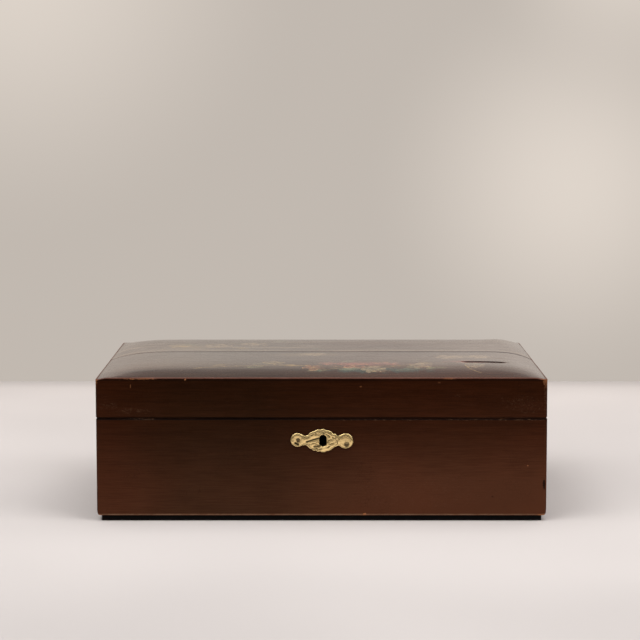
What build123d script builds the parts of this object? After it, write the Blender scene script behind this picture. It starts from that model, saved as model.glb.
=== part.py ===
"""Wooden keepsake box: a finger-jointed case and lid, two stop hinges, and a link-plate lock."""
from build123d import *
import os

os.makedirs("parts", exist_ok=True)

# Case, in millimetres
box_length = 330.0
box_depth = 222.0
case_side_height = 72.0
front_wall = 12.0
back_wall = 12.0
end_wall = 12.0
bottom_thickness = 4.2
bottom_inset = 3.5
finger_height = 8.0
corner_radius = 2.0
base_edge_radius = 1.2
rim_edge_radius = 0.5

# Lid
lid_gap = 0.5
lid_side_height = 23.3
top_edge_thickness = 5.2
dome_rise = 7.3
dome_shoulder = 74.0
dome_steepness = 4
front_board_width = 106.0
dome_columns = 31
dome_rows = 25
dome_margin = 4.0
top_arris_radius = 0.8
dome_tolerance = 0.004

# Hidden dowels and bottom nails
dowel_radius = 1.5
dowel_spacing = 60.0
dowel_depth_in_side = 10.0
dowel_depth_in_top = 4.0
joint_dowel_length = 24.0
joint_dowel_height = 5.0
nail_spacing = 75.0
nail_shank_radius = 0.8
nail_length = 18.0
nail_head_radius = 1.8
nail_head_thickness = 0.8

# Hinges
hinge_offset = 95.0
hinge_length = 38.0
leaf_width = 9.0
leaf_thickness = 1.5
knuckle_radius = 2.5
knuckle_count = 5
knuckle_end_gap = 0.2
knuckle_back_gap = 0.3
hinge_pin_radius = 1.2
hinge_pin_clearance = 0.05
stop_radius = 4.2
stop_clearance = 0.3
open_angle = 100.0
stop_play_angle = 0.5
hinge_screw_spacing = 13.0
hinge_screw_setback = 4.5

# Countersunk wood screws: one size for the hinges and one for the lock
hinge_screw_head_radius = 2.2
hinge_screw_head_height = 1.1
hinge_screw_shank_radius = 1.1
hinge_screw_length = 8.0
lock_screw_head_radius = 1.9
lock_screw_head_height = 0.9
lock_screw_shank_radius = 0.95
lock_screw_length = 7.0
screw_tip_height = 1.5
screw_slot_width = 0.5
screw_slot_depth = 0.5

# Lock
lock_plate_flange = 5.5
lock_plate_height = 34.0
lock_plate_thickness = 1.5
lock_case_width = 43.0
lock_case_height = 25.0
lock_case_inner_depth = 5.4
lock_case_wall = 0.8
lock_case_side_gap = 1.1
bearing_hole_radius = 1.5
keyhole_width = 5.5
keyhole_height = 8.4
keyhole_shift = 1.0
keyhole_drop = 16.2
case_keyhole_clearance = 0.4
board_keyhole_clearance = 1.0
lock_screw_top_drop = 7.0
lock_screw_bottom_margin = 4.0

# Bolt, with two fingers that pass through the links
bolt_thickness = 2.0
bolt_travel = 5.0
bolt_tail_height = 4.7
bolt_tail_drop = 8.0
bolt_tail_overrun = 7.0
bolt_arm_width = 3.0
bolt_finger_height = 2.6
bolt_start_gap = 0.6
bolt_arm_gap = 0.5
bolt_tooth_width = 1.5
bolt_tooth_height = 1.6
bolt_tooth_gap = 4.0
stud_radius = 1.0
stud_spacing = 14.0
stud_clearance = 0.15
stud_end_play = 0.2

# Bolt spring
spring_thickness = 0.4
spring_width = 2.0
spring_leg = 6.0
spring_setback = 2.4
spring_bolt_gap = 0.25

# Link plate in the lid
link_plate_length = 44.0
link_plate_width = 8.5
link_plate_thickness = 1.5
link_width = 3.0
link_length = 8.0
link_web = 1.0
link_clearance = 0.4
finger_clearance = 0.3
link_screw_offset = 17.5

# Escutcheon and its pins
escutcheon_thickness = 1.0
escutcheon_rim_height = 0.5
escutcheon_rim_width = 0.9
oval_half_length = 11.4
oval_half_height = 7.7
scallop_count = 16
scallop_radius = 2.3
scallop_inset = 1.1
lobe_offset = 17.6
lobe_radius = 5.9
neck_height = 6.2
left_pin_inset = 0.5
left_pin_rise = 0.8
right_pin_outset = 0.6
right_pin_drop = 2.8
pin_shank_radius = 0.7
pin_end_gap = 0.3
pin_head_radius = 1.7
pin_head_height = 1.0

# A little extra on cutting shapes, so that they run clear past a face
cut_allowance = 1.0

# Heights that follow from the sizes above
rim_z = bottom_thickness + case_side_height
lid_z = rim_z + lid_gap
top_z = lid_z + lid_side_height
edge_z = top_z + top_edge_thickness
crown_z = edge_z + dome_rise
hinge_z = rim_z + lid_gap / 2
keyhole_z = rim_z - keyhole_drop

# The hinge stops meet halfway between straight up and straight down behind the barrel
stop_angle = open_angle / 2
hinge_back_offset = knuckle_radius + knuckle_back_gap
stop_reach = stop_radius * Vector(1, 0).rotate(Axis.Z, stop_angle).X

# Depths: the origin lies midway between the foremost and the rearmost point
front_projection = escutcheon_thickness + pin_head_height
back_projection = hinge_back_offset + max(knuckle_radius, stop_reach)
front_y = front_projection - (front_projection + box_depth + back_projection) / 2
back_y = front_y + box_depth
middle_y = front_y + box_depth / 2
inner_front_y = front_y + front_wall
hinge_y = back_y + hinge_back_offset
joint_y = front_y + front_board_width


def finger_pitch(height):
    """Height of one finger: a whole, odd number of fingers fills the height."""
    count = 2 * round((height / finger_height - 1) / 2) + 1
    return height / max(count, 3)


def finger_spaces(base_z, height, first, x_places, y_places):
    """Centres of every second finger height at a board's ends, from the first one given."""
    pitch = finger_pitch(height)
    count = round(height / pitch)
    levels = [base_z + pitch * (index + 0.5) for index in range(first, count, 2)]
    return [(x, y, z) for x in x_places for y in y_places for z in levels]


def outline_block(base_z, height, low_radius, high_radius):
    """The box's outline as one block, with rounded corners and eased lower and upper edges."""
    with BuildPart() as block:
        with BuildSketch(Plane.XY.offset(base_z)):
            with Locations((0, middle_y)):
                RectangleRounded(box_length, box_depth, corner_radius)
        extrude(amount=height)
        if low_radius > 0:
            fillet(block.faces().sort_by(Axis.Z)[0].edges(), low_radius)
        if high_radius > 0:
            fillet(block.faces().sort_by(Axis.Z)[-1].edges(), high_radius)
    return block.part


case_block = outline_block(bottom_thickness, case_side_height, base_edge_radius, rim_edge_radius)
lid_side_block = outline_block(lid_z, lid_side_height, rim_edge_radius, 0)


def long_board(block, base_z, height, wall, centre_y):
    """A front or back board: full length, with finger spaces at both ends."""
    end_x = (box_length - end_wall) / 2
    with BuildPart() as board:
        with BuildSketch(Plane.XY.offset(base_z)):
            with Locations((0, centre_y)):
                Rectangle(box_length, wall)
        extrude(amount=height)
        with Locations(*finger_spaces(base_z, height, 1, (-end_x, end_x), (centre_y,))):
            Box(end_wall, wall, finger_pitch(height), mode=Mode.SUBTRACT)
        add(block, mode=Mode.INTERSECT)
    return board.part


def end_board(block, base_z, height, side):
    """An end board: its fingers fill the spaces of the front and back boards."""
    end_x = side * (box_length - end_wall) / 2
    front_centre_y = front_y + front_wall / 2
    back_centre_y = back_y - back_wall / 2
    pitch = finger_pitch(height)
    with BuildPart() as board:
        with BuildSketch(Plane.XY.offset(base_z)):
            with Locations((end_x, middle_y)):
                Rectangle(end_wall, box_depth)
        extrude(amount=height)
        with Locations(*finger_spaces(base_z, height, 0, (end_x,), (front_centre_y,))):
            Box(end_wall, front_wall, pitch, mode=Mode.SUBTRACT)
        with Locations(*finger_spaces(base_z, height, 0, (end_x,), (back_centre_y,))):
            Box(end_wall, back_wall, pitch, mode=Mode.SUBTRACT)
        add(block, mode=Mode.INTERSECT)
    return board.part


def spaced(length, spacing):
    """Places along a length, centred on zero, about one spacing apart and half a step from its ends."""
    count = max(2, round(length / spacing))
    step = length / count
    return [step * (index + 0.5) - length / 2 for index in range(count)]


def screw_set(planes, head_radius, head_height, shank_radius, length, slotted):
    """Countersunk wood screws, each with its head's face on a plane whose normal points out of the head."""
    shank_length = length - head_height - screw_tip_height
    with BuildPart() as screws:
        for plane in planes:
            with Locations(plane.location):
                Cone(
                    shank_radius, head_radius, head_height,
                    align=(Align.CENTER, Align.CENTER, Align.MAX),
                )
            with Locations(plane.offset(-head_height).location):
                Cylinder(shank_radius, shank_length, align=(Align.CENTER, Align.CENTER, Align.MAX))
            with Locations(plane.offset(-head_height - shank_length).location):
                Cone(
                    0, shank_radius, screw_tip_height,
                    align=(Align.CENTER, Align.CENTER, Align.MAX),
                )
            if slotted:
                with Locations(plane.location):
                    Box(
                        2 * head_radius, screw_slot_width, 2 * screw_slot_depth,
                        mode=Mode.SUBTRACT,
                    )
    return screws.part


def hinge_screws(planes, slotted):
    """The hinges' screws, or the plain shapes that they leave in wood and brass."""
    return screw_set(
        planes, hinge_screw_head_radius, hinge_screw_head_height,
        hinge_screw_shank_radius, hinge_screw_length, slotted,
    )


def lock_screws(planes, slotted):
    """The lock's and the link plate's screws, or the plain shapes that they leave."""
    return screw_set(
        planes, lock_screw_head_radius, lock_screw_head_height,
        lock_screw_shank_radius, lock_screw_length, slotted,
    )


# Places of the fastenings
hinge_places = (-hinge_offset, hinge_offset)
hinge_screw_y = back_y - hinge_screw_setback
hinge_screw_steps = (-hinge_screw_spacing, 0, hinge_screw_spacing)


def case_hinge_planes(centre_x):
    """Head faces of one hinge's screws into the case, facing up."""
    return [Plane((centre_x + step, hinge_screw_y, rim_z)) for step in hinge_screw_steps]


def lid_hinge_planes(centre_x):
    """Head faces of one hinge's screws into the lid, facing down."""
    return [
        Plane((centre_x + step, hinge_screw_y, lid_z), x_dir=(1, 0, 0), z_dir=(0, 0, -1))
        for step in hinge_screw_steps
    ]


# Lock depths, from the inner face of the front board
lock_plate_width = lock_case_width + 2 * lock_plate_flange
plate_front_y = inner_front_y - lock_plate_thickness
lock_case_depth = lock_case_inner_depth + lock_case_wall
lock_front_y = plate_front_y - lock_case_depth
bolt_y = plate_front_y - lock_case_inner_depth / 2
link_depth = bolt_thickness + 2 * finger_clearance + 2 * link_web
selvedge_z = rim_z - lock_plate_thickness
plate_bottom_z = rim_z - lock_plate_height
lock_case_bottom_z = selvedge_z - lock_case_height

lock_screw_x = (lock_case_width + lock_plate_flange) / 2
lock_screw_planes = [
    Plane((side * lock_screw_x, inner_front_y, z), x_dir=(1, 0, 0), z_dir=(0, 1, 0))
    for side in (-1, 1)
    for z in (rim_z - lock_screw_top_drop, plate_bottom_z + lock_screw_bottom_margin)
]
link_screw_planes = [
    Plane((side * link_screw_offset, bolt_y, lid_z), x_dir=(1, 0, 0), z_dir=(0, 0, -1))
    for side in (-1, 1)
]
pin_shank_length = escutcheon_thickness + lock_front_y - front_y - pin_end_gap
pin_places = [
    (-lobe_offset + left_pin_inset, keyhole_z + left_pin_rise),
    (lobe_offset + right_pin_outset, keyhole_z - right_pin_drop),
]

# Looking at the front from outside: sketch X runs along the box and sketch Y runs up
front_face = Plane((0, front_y, 0), x_dir=(1, 0, 0), z_dir=(0, -1, 0))


# Case bottom and its nails
side_line_y = box_depth / 2 - front_wall / 2
end_line_x = box_length / 2 - end_wall / 2
nail_points = [(x, middle_y + side * side_line_y) for x in spaced(box_length, nail_spacing) for side in (-1, 1)]
nail_points += [(side * end_line_x, middle_y + y) for y in spaced(box_depth, nail_spacing) for side in (-1, 1)]

with BuildPart() as bottom_nails:
    with Locations(*[(x, y, 0) for x, y in nail_points]):
        Cylinder(
            nail_head_radius, nail_head_thickness,
            align=(Align.CENTER, Align.CENTER, Align.MIN),
        )
        Cylinder(nail_shank_radius, nail_length, align=(Align.CENTER, Align.CENTER, Align.MIN))
bottom_nails.part.label = "bottom_nails"
export_step(bottom_nails.part, "parts/bottom_nails.step")

with BuildPart() as case_bottom:
    with BuildSketch():
        with Locations((0, middle_y)):
            Rectangle(box_length - 2 * bottom_inset, box_depth - 2 * bottom_inset)
    extrude(amount=bottom_thickness)
    add(bottom_nails.part, mode=Mode.SUBTRACT)
case_bottom.part.label = "case_bottom"
export_step(case_bottom.part, "parts/case_bottom.step")

# Case front: mortised for the lock, bored for the keyhole and the escutcheon's pins
keyhole_centre = (keyhole_shift, keyhole_z)
with BuildPart() as case_front:
    add(long_board(case_block, bottom_thickness, case_side_height, front_wall, front_y + front_wall / 2))
    with BuildSketch(Plane.XY.offset(rim_z)):
        with Locations((0, (lock_front_y + inner_front_y) / 2)):
            Rectangle(lock_plate_width, lock_case_depth + lock_plate_thickness)
    extrude(amount=-lock_plate_thickness, mode=Mode.SUBTRACT)
    with BuildSketch(Plane.XY.offset(rim_z)):
        with Locations((0, (plate_front_y + inner_front_y) / 2)):
            Rectangle(lock_plate_width, lock_plate_thickness)
    extrude(amount=-lock_plate_height, mode=Mode.SUBTRACT)
    with BuildSketch(Plane.XY.offset(selvedge_z)):
        with Locations((0, (lock_front_y + plate_front_y) / 2)):
            Rectangle(lock_case_width, lock_case_depth)
    extrude(amount=-lock_case_height, mode=Mode.SUBTRACT)
    with BuildSketch(front_face):
        with Locations(keyhole_centre):
            SlotOverall(
                keyhole_height + 2 * board_keyhole_clearance,
                keyhole_width + 2 * board_keyhole_clearance,
                rotation=90,
            )
    extrude(amount=-front_wall, mode=Mode.SUBTRACT)
    with BuildSketch(front_face):
        with Locations(*pin_places):
            Circle(pin_shank_radius)
    extrude(amount=escutcheon_thickness - pin_shank_length, mode=Mode.SUBTRACT)
    add(lock_screws(lock_screw_planes, slotted=False), mode=Mode.SUBTRACT)
    add(bottom_nails.part, mode=Mode.SUBTRACT)
case_front.part.label = "case_front"
export_step(case_front.part, "parts/case_front.step")

# Case back: its top edge is cut for the two hinge leaves
leaf_centre_y = back_y - leaf_width / 2
with BuildPart() as case_back:
    add(long_board(case_block, bottom_thickness, case_side_height, back_wall, back_y - back_wall / 2))
    with Locations(*[(x, leaf_centre_y, rim_z) for x in hinge_places]):
        Box(
            hinge_length, leaf_width, leaf_thickness,
            align=(Align.CENTER, Align.CENTER, Align.MAX), mode=Mode.SUBTRACT,
        )
    for x in hinge_places:
        add(hinge_screws(case_hinge_planes(x), slotted=False), mode=Mode.SUBTRACT)
    add(bottom_nails.part, mode=Mode.SUBTRACT)
case_back.part.label = "case_back"
export_step(case_back.part, "parts/case_back.step")

for name, side in (("case_left_end", -1), ("case_right_end", 1)):
    with BuildPart() as case_end:
        add(end_board(case_block, bottom_thickness, case_side_height, side))
        add(bottom_nails.part, mode=Mode.SUBTRACT)
    case_end.part.label = name
    export_step(case_end.part, f"parts/{name}.step")


# Lid dowels: upright ones between the sides and the top, level ones across the top's joint
upright_points = [(x, middle_y + side * side_line_y) for x in spaced(box_length, dowel_spacing) for side in (-1, 1)]
upright_points += [(side * end_line_x, middle_y + y) for y in spaced(box_depth, dowel_spacing) for side in (-1, 1)]
with BuildPart() as lid_top_dowels:
    with Locations(*[(x, y, top_z - dowel_depth_in_side) for x, y in upright_points]):
        Cylinder(
            dowel_radius, dowel_depth_in_side + dowel_depth_in_top,
            align=(Align.CENTER, Align.CENTER, Align.MIN),
        )
lid_top_dowels.part.label = "lid_top_dowels"
export_step(lid_top_dowels.part, "parts/lid_top_dowels.step")

joint_span = box_length - 2 * (end_wall + dowel_spacing / 2)
with BuildPart() as lid_joint_dowels:
    with Locations(*[(x, joint_y, top_z + joint_dowel_height) for x in spaced(joint_span, dowel_spacing)]):
        Cylinder(dowel_radius, joint_dowel_length, rotation=(90, 0, 0))
lid_joint_dowels.part.label = "lid_joint_dowels"
export_step(lid_joint_dowels.part, "parts/lid_joint_dowels.step")

# Lid front: its lower edge is cut for the link plate
link_plate_y = bolt_y
with BuildPart() as lid_front:
    add(long_board(lid_side_block, lid_z, lid_side_height, front_wall, front_y + front_wall / 2))
    with Locations((0, link_plate_y, lid_z)):
        Box(
            link_plate_length, link_plate_width, link_plate_thickness,
            align=(Align.CENTER, Align.CENTER, Align.MIN), mode=Mode.SUBTRACT,
        )
    add(lock_screws(link_screw_planes, slotted=False), mode=Mode.SUBTRACT)
    add(lid_top_dowels.part, mode=Mode.SUBTRACT)
lid_front.part.label = "lid_front"
export_step(lid_front.part, "parts/lid_front.step")

# Lid back: its lower edge is cut for the two hinge leaves
with BuildPart() as lid_back:
    add(long_board(lid_side_block, lid_z, lid_side_height, back_wall, back_y - back_wall / 2))
    with Locations(*[(x, leaf_centre_y, lid_z) for x in hinge_places]):
        Box(
            hinge_length, leaf_width, leaf_thickness,
            align=(Align.CENTER, Align.CENTER, Align.MIN), mode=Mode.SUBTRACT,
        )
    for x in hinge_places:
        add(hinge_screws(lid_hinge_planes(x), slotted=False), mode=Mode.SUBTRACT)
    add(lid_top_dowels.part, mode=Mode.SUBTRACT)
lid_back.part.label = "lid_back"
export_step(lid_back.part, "parts/lid_back.step")

for name, side in (("lid_left_end", -1), ("lid_right_end", 1)):
    with BuildPart() as lid_end:
        add(end_board(lid_side_block, lid_z, lid_side_height, side))
        add(lid_top_dowels.part, mode=Mode.SUBTRACT)
    lid_end.part.label = name
    export_step(lid_end.part, f"parts/{name}.step")


# Lid top: two boards under one cushion-shaped surface
def swell(distance, half_width):
    """Share of the dome's rise at a distance in from an edge: steep at the edge, level past the shoulder."""
    shoulder = min(dome_shoulder, half_width)
    share = min(distance / shoulder, 1.0)
    return 1 - (1 - share) ** dome_steepness


def dome_point(column, row):
    """A point of the top surface, on a grid that runs a little past the lid's edges."""
    half_length = box_length / 2
    half_depth = box_depth / 2
    x = (half_length + dome_margin) * (2 * column / (dome_columns - 1) - 1)
    y = (half_depth + dome_margin) * (2 * row / (dome_rows - 1) - 1)
    rise = swell(half_length - abs(x), half_length) * swell(half_depth - abs(y), half_depth)
    return Vector(x, middle_y + y, edge_z + dome_rise * rise)


dome_grid = [[dome_point(column, row) for column in range(dome_columns)] for row in range(dome_rows)]
dome_face = Face.make_surface_from_array_of_points(dome_grid, tol=dome_tolerance)
with BuildPart() as under_dome:
    extrude(dome_face, amount=2 * (crown_z - top_z), dir=(0, 0, -1))
with BuildPart() as lid_top_block:
    add(outline_block(top_z, crown_z + cut_allowance - top_z, 0, 0))
    add(under_dome.part, mode=Mode.INTERSECT)
    fillet(lid_top_block.faces().sort_by(Axis.Z)[-1].edges(), top_arris_radius)

back_board_width = box_depth - front_board_width
top_boards = (
    ("lid_top_front_board", front_y + front_board_width / 2, front_board_width),
    ("lid_top_rear_board", joint_y + back_board_width / 2, back_board_width),
)
for name, centre_y, width in top_boards:
    with BuildPart() as top_board:
        with BuildSketch(Plane.XY.offset(top_z)):
            with Locations((0, centre_y)):
                Rectangle(box_length, width)
        extrude(amount=crown_z + cut_allowance - top_z)
        add(lid_top_block.part, mode=Mode.INTERSECT)
        add(lid_top_dowels.part, mode=Mode.SUBTRACT)
        add(lid_joint_dowels.part, mode=Mode.SUBTRACT)
    top_board.part.label = name
    export_step(top_board.part, f"parts/{name}.step")


# Hinges: five knuckles each, with a stop on both leaves behind the barrel
def sector(inner_radius, from_angle, to_angle):
    """A stop's profile about the hinge axis, in the plane that looks along the barrel."""
    with BuildSketch() as profile:
        with BuildLine():
            start = Vector(stop_radius, 0).rotate(Axis.Z, from_angle)
            end = Vector(stop_radius, 0).rotate(Axis.Z, to_angle)
            CenterArc((0, 0), stop_radius, from_angle, to_angle - from_angle)
            Polyline(end, (0, 0), start)
        make_face()
        Circle(inner_radius, mode=Mode.SUBTRACT)
    return profile.sketch


knuckle_pitch = hinge_length / knuckle_count
knuckle_length = knuckle_pitch - knuckle_end_gap


def hinge_leaf(centre_x, leaf_centre_z, first, hole_radius):
    """A leaf plate with every second knuckle, from the first one given."""
    places = [
        centre_x - hinge_length / 2 + knuckle_pitch * (index + 0.5)
        for index in range(first, knuckle_count, 2)
    ]
    with BuildPart() as leaf:
        with Locations((centre_x, leaf_centre_y, leaf_centre_z)):
            Box(hinge_length, leaf_width, leaf_thickness)
        with Locations(*[(x, back_y, leaf_centre_z) for x in places]):
            Box(
                knuckle_length, hinge_back_offset, leaf_thickness,
                align=(Align.CENTER, Align.MIN, Align.CENTER),
            )
        with Locations(*[(x, hinge_y, hinge_z) for x in places]):
            Cylinder(knuckle_radius, knuckle_length, rotation=(0, 90, 0))
        with Locations((centre_x, hinge_y, hinge_z)):
            Cylinder(hole_radius, hinge_length, rotation=(0, 90, 0), mode=Mode.SUBTRACT)
    return leaf.part


def lid_zones(centre_x):
    """Where the lid leaf's knuckles start along the box."""
    return [
        centre_x - hinge_length / 2 + knuckle_pitch * index + knuckle_end_gap / 2
        for index in range(1, knuckle_count, 2)
    ]


def make_hinge(side, centre_x):
    """One hinge: both leaves, the pin and two rows of screws."""
    zones = lid_zones(centre_x)
    stop_start = zones[0]
    stop_length = zones[-1] + knuckle_length - stop_start
    middle_start = zones[0] + knuckle_length + knuckle_end_gap
    middle_length = stop_length - 2 * knuckle_length - 2 * knuckle_end_gap
    low_stop = (-90, -stop_angle - stop_play_angle)
    high_stop = (stop_angle, 90)
    case_planes = case_hinge_planes(centre_x)
    lid_planes = lid_hinge_planes(centre_x)

    with BuildPart() as case_leaf:
        add(hinge_leaf(centre_x, rim_z - leaf_thickness / 2, 0, hinge_pin_radius))
        with BuildSketch(Plane.YZ.offset(stop_start)):
            with Locations((hinge_y, hinge_z)):
                add(sector(knuckle_radius + stop_clearance, *low_stop))
        extrude(amount=stop_length)
        with BuildSketch(Plane.YZ.offset(middle_start)):
            with Locations((hinge_y, hinge_z)):
                add(sector(hinge_pin_radius, *low_stop))
        extrude(amount=middle_length)
        add(hinge_screws(case_planes, slotted=False), mode=Mode.SUBTRACT)
    case_leaf.part.label = f"hinge_{side}_case_leaf"
    export_step(case_leaf.part, f"parts/hinge_{side}_case_leaf.step")

    lid_hole_radius = hinge_pin_radius + hinge_pin_clearance
    with BuildPart() as lid_leaf:
        add(hinge_leaf(centre_x, lid_z + leaf_thickness / 2, 1, lid_hole_radius))
        for zone in zones:
            with BuildSketch(Plane.YZ.offset(zone)):
                with Locations((hinge_y, hinge_z)):
                    add(sector(lid_hole_radius, *high_stop))
            extrude(amount=knuckle_length)
        add(hinge_screws(lid_planes, slotted=False), mode=Mode.SUBTRACT)
    lid_leaf.part.label = f"hinge_{side}_lid_leaf"
    export_step(lid_leaf.part, f"parts/hinge_{side}_lid_leaf.step")

    with BuildPart() as pin:
        with Locations((centre_x, hinge_y, hinge_z)):
            Cylinder(hinge_pin_radius, hinge_length, rotation=(0, 90, 0))
    pin.part.label = f"hinge_{side}_pin"
    export_step(pin.part, f"parts/hinge_{side}_pin.step")

    for place, planes in (("case", case_planes), ("lid", lid_planes)):
        screws = hinge_screws(planes, slotted=True)
        screws.label = f"hinge_{side}_{place}_screws"
        export_step(screws, f"parts/hinge_{side}_{place}_screws.step")


make_hinge("left", hinge_places[0])
make_hinge("right", hinge_places[1])


# Lock plate: an upright plate, a selvedge along the rim and two studs that guide the bolt.
# The bolt starts beside the lock case's left wall, and the links stand where its fingers end.
finger_z = lid_z - link_length + link_web + finger_clearance + bolt_finger_height / 2
tail_top_z = rim_z - bolt_tail_drop
tail_middle_z = tail_top_z - bolt_tail_height / 2
finger_length = bolt_travel + bolt_arm_gap
tail_start_x = lock_case_wall + lock_case_side_gap - lock_case_width / 2
link_offset = -tail_start_x - bolt_arm_width - finger_length - bolt_start_gap - link_width / 2
link_places = (-link_offset, link_offset)
tail_end_x = link_offset - link_width / 2 - bolt_start_gap + bolt_tail_overrun
stud_middle_x = (tail_start_x + tail_end_x) / 2
stud_length = lock_case_inner_depth / 2 + bolt_thickness / 2 + stud_end_play
inner_face = Plane((0, plate_front_y, 0), x_dir=(1, 0, 0), z_dir=(0, -1, 0))

with BuildPart() as lock_plate:
    with BuildSketch(Plane.XY.offset(rim_z)):
        with Locations((0, (lock_front_y + inner_front_y) / 2)):
            Rectangle(lock_plate_width, lock_case_depth + lock_plate_thickness)
        with Locations(*[(x, bolt_y) for x in link_places]):
            Rectangle(
                link_width + 2 * link_clearance,
                link_depth + 2 * link_clearance,
                mode=Mode.SUBTRACT,
            )
    extrude(amount=-lock_plate_thickness)
    with BuildSketch(inner_face):
        with Locations((0, (selvedge_z + plate_bottom_z) / 2)):
            Rectangle(lock_plate_width, selvedge_z - plate_bottom_z)
        with Locations(keyhole_centre):
            Circle(bearing_hole_radius, mode=Mode.SUBTRACT)
    extrude(amount=-lock_plate_thickness)
    with BuildSketch(inner_face):
        with Locations(*[(stud_middle_x + side * stud_spacing / 2, tail_middle_z) for side in (-1, 1)]):
            Circle(stud_radius)
    extrude(amount=stud_length)
    add(lock_screws(lock_screw_planes, slotted=False), mode=Mode.SUBTRACT)
lock_plate.part.label = "lock_plate"
export_step(lock_plate.part, "parts/lock_plate.step")

# Lock case: a shallow tray round the bolt, with the keyhole in its face
with BuildPart() as lock_case:
    with BuildSketch(inner_face):
        with Locations((0, (selvedge_z + lock_case_bottom_z) / 2)):
            Rectangle(lock_case_width, lock_case_height)
    extrude(amount=lock_case_depth)
    with BuildSketch(inner_face):
        with Locations((0, (selvedge_z + lock_case_bottom_z + lock_case_wall) / 2)):
            Rectangle(lock_case_width - 2 * lock_case_wall, lock_case_height - lock_case_wall)
    extrude(amount=lock_case_inner_depth, mode=Mode.SUBTRACT)
    with BuildSketch(inner_face):
        with Locations(keyhole_centre):
            SlotOverall(
                keyhole_height + 2 * case_keyhole_clearance,
                keyhole_width + 2 * case_keyhole_clearance,
                rotation=90,
            )
    extrude(amount=lock_case_depth, mode=Mode.SUBTRACT)
lock_case.part.label = "lock_case"
export_step(lock_case.part, "parts/lock_case.step")

lock_plate_screws = lock_screws(lock_screw_planes, slotted=True)
lock_plate_screws.label = "lock_plate_screws"
export_step(lock_plate_screws, "parts/lock_plate_screws.step")

# Bolt: a slotted tail on the studs, and two arms whose fingers slide through the links
slot_length = stud_spacing + bolt_travel + 2 * (stud_radius + stud_clearance)
bolt_plane = Plane((0, bolt_y + bolt_thickness / 2, 0), x_dir=(1, 0, 0), z_dir=(0, -1, 0))
arm_top_z = finger_z + bolt_finger_height / 2
with BuildPart() as lock_bolt:
    with BuildSketch(bolt_plane):
        with Locations(((tail_start_x + tail_end_x) / 2, tail_middle_z)):
            Rectangle(tail_end_x - tail_start_x, bolt_tail_height)
        with Locations((stud_middle_x - bolt_travel / 2, tail_middle_z)):
            SlotOverall(slot_length, 2 * (stud_radius + stud_clearance), mode=Mode.SUBTRACT)
        for link_x in link_places:
            tip_x = link_x - link_width / 2 - bolt_start_gap
            with Locations((tip_x - finger_length / 2, finger_z)):
                Rectangle(finger_length, bolt_finger_height)
            with Locations((tip_x - finger_length - bolt_arm_width / 2, (tail_top_z + arm_top_z) / 2)):
                Rectangle(bolt_arm_width, arm_top_z - tail_top_z)
        for side in (-1, 1):
            tooth_x = keyhole_shift - bolt_travel / 2 + side * (bolt_tooth_gap + bolt_tooth_width) / 2
            with Locations((tooth_x, tail_top_z - bolt_tail_height - bolt_tooth_height / 2)):
                Rectangle(bolt_tooth_width, bolt_tooth_height)
    extrude(amount=bolt_thickness)
lock_bolt.part.label = "lock_bolt"
export_step(lock_bolt.part, "parts/lock_bolt.step")

# Bolt spring: a folded strip under the selvedge, pressing on the bolt's tail
spring_right_x = lock_case_width / 2 - lock_case_wall - spring_setback
spring_left_x = spring_right_x - spring_leg
spring_plane = Plane((0, bolt_y + spring_width / 2, 0), x_dir=(1, 0, 0), z_dir=(0, -1, 0))
with BuildPart() as bolt_spring:
    with BuildSketch(spring_plane):
        with BuildLine():
            upper = Line(
                (spring_left_x, selvedge_z - spring_thickness / 2),
                (spring_right_x, selvedge_z - spring_thickness / 2),
            )
            bend_z = (selvedge_z + tail_top_z + spring_bolt_gap) / 2
            lower_z = tail_top_z + spring_bolt_gap + spring_thickness / 2
            TangentArc(upper @ 1, (spring_right_x, bend_z), tangent=upper % 1)
            Line((spring_right_x, bend_z), (spring_left_x, lower_z))
        trace(line_width=spring_thickness)
    extrude(amount=spring_width)
bolt_spring.part.label = "bolt_spring"
export_step(bolt_spring.part, "parts/bolt_spring.step")

# Link plate in the lid, with two links that drop through the selvedge
with BuildPart() as link_plate:
    with Locations((0, link_plate_y, lid_z)):
        Box(
            link_plate_length, link_plate_width, link_plate_thickness,
            align=(Align.CENTER, Align.CENTER, Align.MIN),
        )
    with Locations(*[(x, bolt_y, lid_z) for x in link_places]):
        Box(link_width, link_depth, link_length, align=(Align.CENTER, Align.CENTER, Align.MAX))
    with Locations(*[(x, bolt_y, finger_z) for x in link_places]):
        Box(
            link_width, bolt_thickness + 2 * finger_clearance,
            bolt_finger_height + 2 * finger_clearance, mode=Mode.SUBTRACT,
        )
    add(lock_screws(link_screw_planes, slotted=False), mode=Mode.SUBTRACT)
link_plate.part.label = "link_plate"
export_step(link_plate.part, "parts/link_plate.step")

link_plate_screws = lock_screws(link_screw_planes, slotted=True)
link_plate_screws.label = "link_plate_screws"
export_step(link_plate_screws, "parts/link_plate_screws.step")


# Escutcheon: a scalloped oval between two round lobes, with a raised rim
def escutcheon_outline(inset):
    """The plate's outline about its centre, drawn in by an inset."""
    with BuildSketch() as outline:
        Ellipse(oval_half_length - inset, oval_half_height - inset)
        with BuildLine() as rounding:
            EllipticalCenterArc(
                (0, 0), oval_half_length - scallop_inset, oval_half_height - scallop_inset, arc_size=360
            )
        with Locations(*[rounding.line @ (index / scallop_count) for index in range(scallop_count)]):
            Circle(scallop_radius - inset)
        Rectangle(2 * lobe_offset, neck_height - 2 * inset)
        with Locations((-lobe_offset, 0), (lobe_offset, 0)):
            Circle(lobe_radius - inset)
    return outline.sketch


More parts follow.
